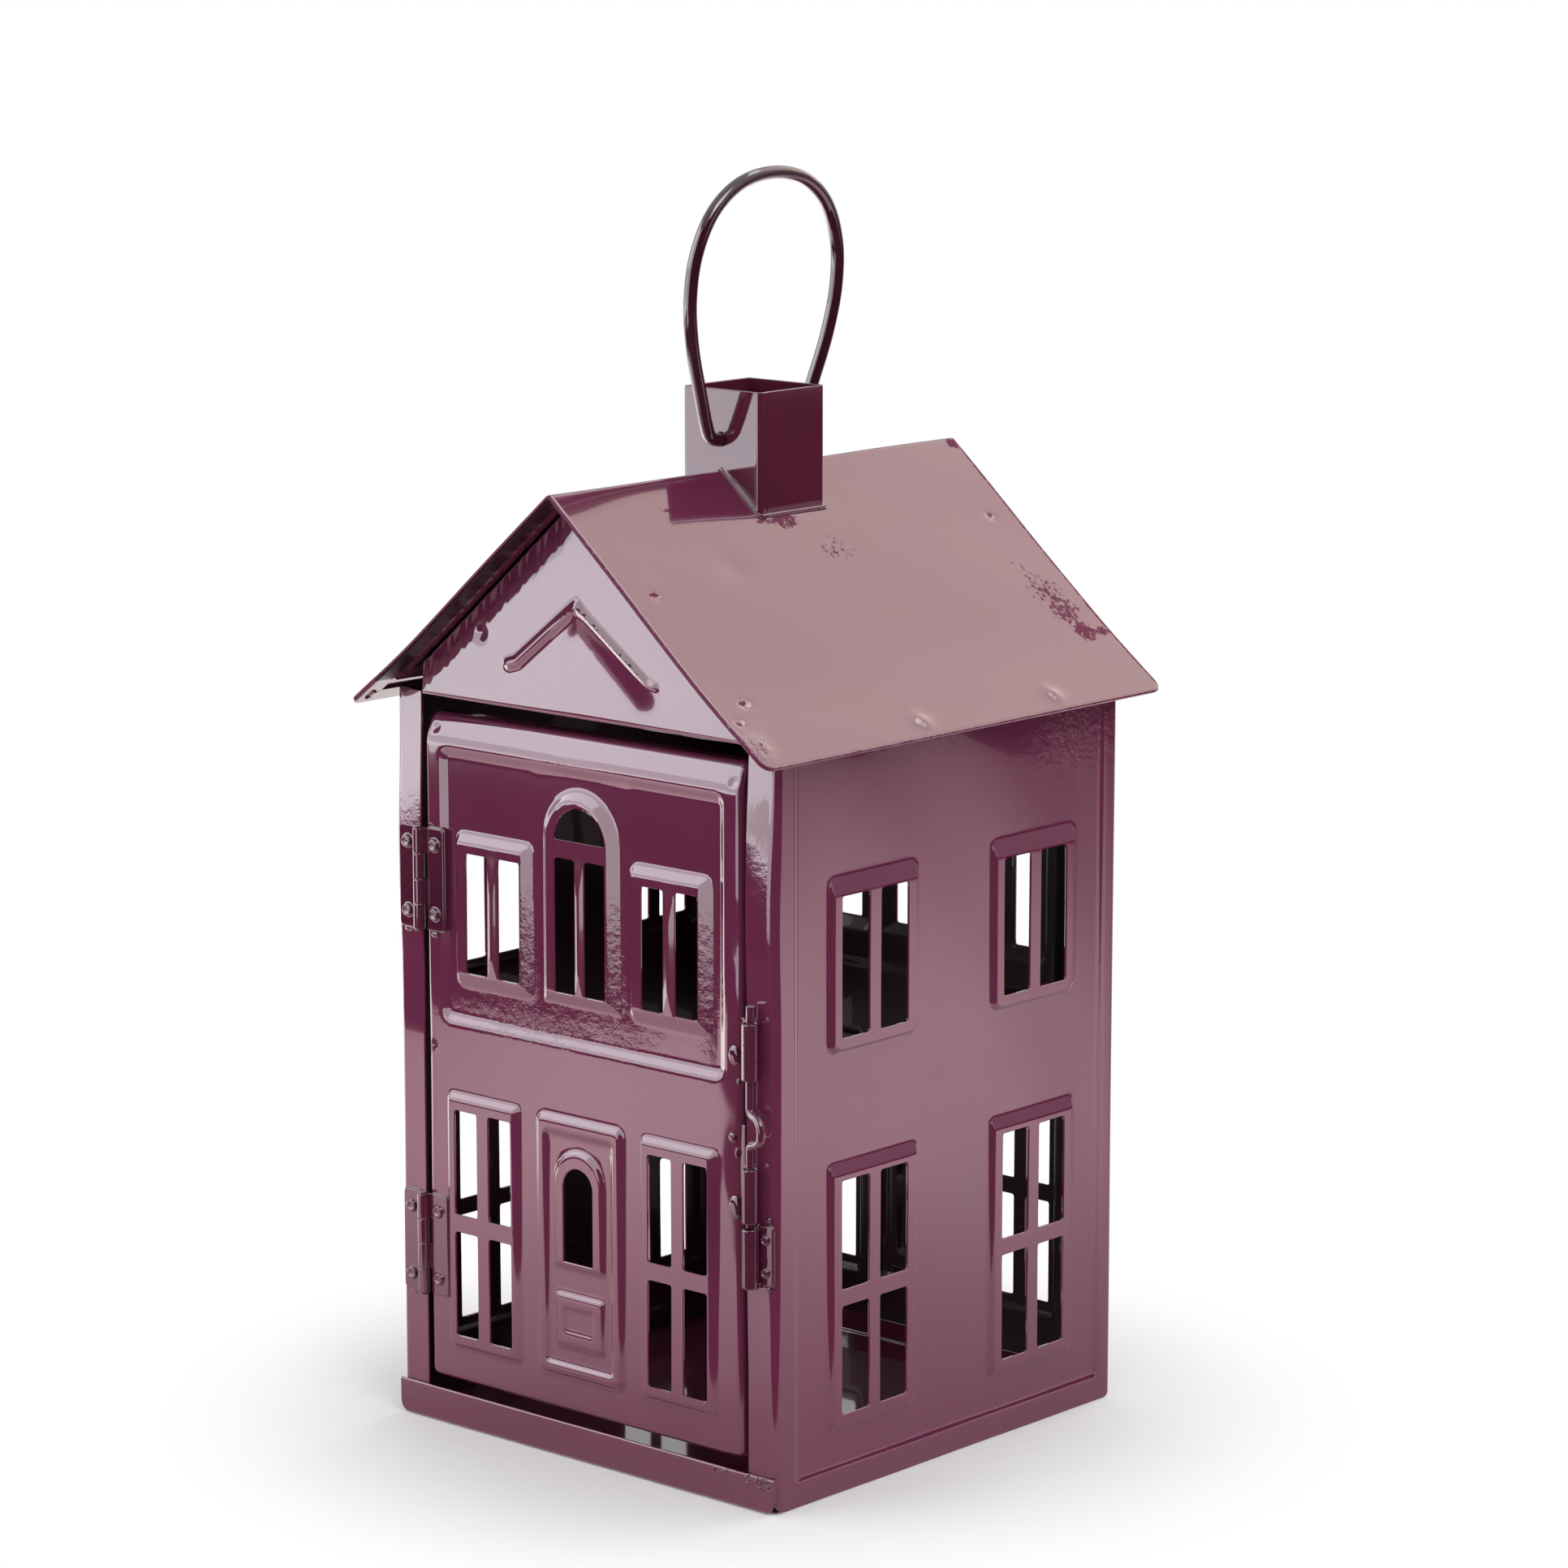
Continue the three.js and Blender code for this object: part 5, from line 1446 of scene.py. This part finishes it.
def table_white():
    """Matt white near the lantern and plain white to the camera further off. To a mirror it glows: darker
    beyond the table's near edge, where the table ends, with painted shade close round the lantern and at
    its far right, and painted light towards the front and at its back left."""
    material, tree = new_material("matt white table")
    matt = add_node(tree, "ShaderNodeBsdfDiffuse", {"Color": linear("#F4F3F2")})
    where = add_node(tree, "ShaderNodeTexCoord").outputs["Object"]
    far = add_node(tree, "ShaderNodeVectorMath", {"operation": "LENGTH"}, {0: where}).outputs["Value"]
    near_edge, right_end, front, side, left, back_left = (
        add_node(
            tree, "ShaderNodeVectorMath", {"operation": "DOT_PRODUCT", 1: way}, {0: where}
        ).outputs["Value"]
        for way in ((0.626, -0.780, 0), (0.734, -0.653, 0), (-0.653, -0.734, 0), (0.94, -0.33, 0),
                    (-1, 0, 0), (-0.75, 0.66, 0))
    )
    # The back left of the table isn't in the shade of its right end
    shade = product(
        tree, change(tree, right_end, -0.06, 0.03, 0.58, 0.0), change(tree, side, 0.03, 0.09, 0.45, 1.0)
    )
    corner = product(
        tree, change(tree, left, -0.16, 0.08, 0.0, 1.0), change(tree, back_left, 0.07, 0.13, 0.0, 1.0)
    )
    # What a mirror sees of the table: painted contact shade near the lantern, painted shade at the right
    # end, dimmer far off, and painted light at the front and back left
    level = product(
        tree,
        change(tree, far, 0.07, 0.36, 0.5, 1.2),
        change(tree, far, 0.42, 0.95, 1.0, 0.35),
        change(tree, far, 0.055, 0.13, 0.78, 1.0),
        change(tree, near_edge, 0.135, 0.145, 1.0, 0.03),
        maths(tree, "SUBTRACT", 1.0, shade),
        change(tree, front, 0.065, 0.12, 1.0, 1.34),
        maths(tree, "ADD", 1.0, maths(tree, "MULTIPLY", corner, 1.5)),
    )
    paths, seen = light_paths(tree)
    plain = add_node(tree, "ShaderNodeEmission", {"Color": linear("#FFFFFF"), "Strength": 1.0})
    tint = two_colours(tree, corner, "#FFE0E4", "#F6EFEC")
    mirrored = add_node(tree, "ShaderNodeEmission", links={"Color": tint, "Strength": level})
    far_off = product(tree, change(tree, far, 0.07, 0.14, 0.0, 1.0), seen)
    surface = mix(tree, far_off, matt.outputs[0], plain.outputs[0])
    surface = mix(tree, paths["Is Glossy Ray"], surface, mirrored.outputs[0])
    add_node(tree, "ShaderNodeOutputMaterial", links={"Surface": surface})
    return material


def flat_card(name, corners, material, seen=False):
    mesh = bpy.data.meshes.new(name)
    points = [tuple(c * MM for c in corner) for corner in corners]
    mesh.from_pydata(points, [], [tuple(range(len(points)))])
    mesh.materials.append(material)
    card = bpy.data.objects.new(name, mesh)
    bpy.context.scene.collection.objects.link(card)
    card.visible_camera = seen
    return card


TABLE = 6000
flat_card(
    "table", [(TABLE * a, TABLE * b, 0) for a, b in ((-1, -1), (1, -1), (1, 1), (-1, 1))],
    table_white(), True,
)

world = bpy.data.worlds.new("white studio")
bpy.context.scene.world = world
world.use_nodes = True
world.node_tree.nodes.clear()
sky = world.node_tree
soft, shown = (
    add_node(sky, "ShaderNodeBackground", {"Color": linear("#FFFFFF"), "Strength": strength}).outputs[0]
    for strength in (0.62, 1.0)
)
surface = mix(sky, light_paths(sky)[1], soft, shown)
add_node(sky, "ShaderNodeOutputWorld", links={"Surface": surface})


def softbox(name, place, aim, width, height, radiance):
    """A soft lamp of that size in millimetres that looks from place to aim."""
    data = bpy.data.lights.new(name, "AREA")
    data.shape = "RECTANGLE"
    data.size, data.size_y = width * MM, height * MM
    data.energy = radiance * math.pi * width * height * MM * MM
    lamp = bpy.data.objects.new(name, data)
    turn = (Vector(aim) - Vector(place)).to_track_quat("-Z", "Y").to_matrix().to_4x4()
    lamp.matrix_world = Matrix.Translation(Vector(place) * MM) @ turn
    bpy.context.scene.collection.objects.link(lamp)
    lamp.visible_camera = False


def standing_card(name, azimuth, distance, half, low, high, material):
    """An upright card that only mirrors see, square to its direction from the lantern."""
    x, y = math.cos(math.radians(azimuth)), math.sin(math.radians(azimuth))
    card = flat_card(name, [
        (x * distance + y * half * a, y * distance - x * half * a, z)
        for a, z in ((-1, low), (1, low), (1, high), (-1, high))
    ], material)
    card.visible_diffuse = False
    card.visible_shadow = False


softbox("front screen", (-610, -685, 460), (0, 0, 460), 1100, 880, 1.2)
softbox("side fill", (1100, -300, 1500), (0, 0, 150), 900, 900, 3.5)
softbox("roof screen", (150, 1350, 1350), (0, 0, 180), 1250, 1600, 1.6)
black_felt = glow("black felt", "#000000", 0)
bright_cloth = glow("bright diffusion cloth", "#FBF8FF", 3.2)
softer_cloth = glow("double diffusion cloth", "#FBF8FF", 2.2)
white_foam = glow("white foam board", "#FFFFFF", 1.7)
dim_board = glow("dim grey board", "#FFEAF2", 0.27)
warm_cloth = glow("warm diffusion cloth", "#FFEAE2", 1.45)
for name, *where, material in (
    ("front_cloth_low", -131.7, 880, 560, 0, 96, bright_cloth),
    ("front_cloth_middle", -131.7, 880, 560, 96, 380, softer_cloth),
    ("front_cloth_high", -131.7, 880, 560, 380, 900, bright_cloth),
    ("front_card", -131.7, 462, 200, 0, 79, black_felt),
    ("side_card", 48.3, 905, 430, 0, 130, black_felt),
    ("side_board", 48.3, 905, 430, 130, 560, dim_board),
    ("front_right_board", -96, 440, 108, 34, 600, white_foam),
    ("roof_cloth", 87, 1050, 480, 500, 2300, warm_cloth),
    ("high_front_card", -90, 1500, 300, 900, 2700, black_felt),
    ("camera_side_card_0", -66, 1500, 402, 0, 1300, black_felt),
    ("camera_side_card_1", -36, 1500, 402, 0, 1300, black_felt),
    ("camera_side_card_2", -6, 1500, 402, 0, 1300, black_felt),
):
    standing_card(name, *where, material)
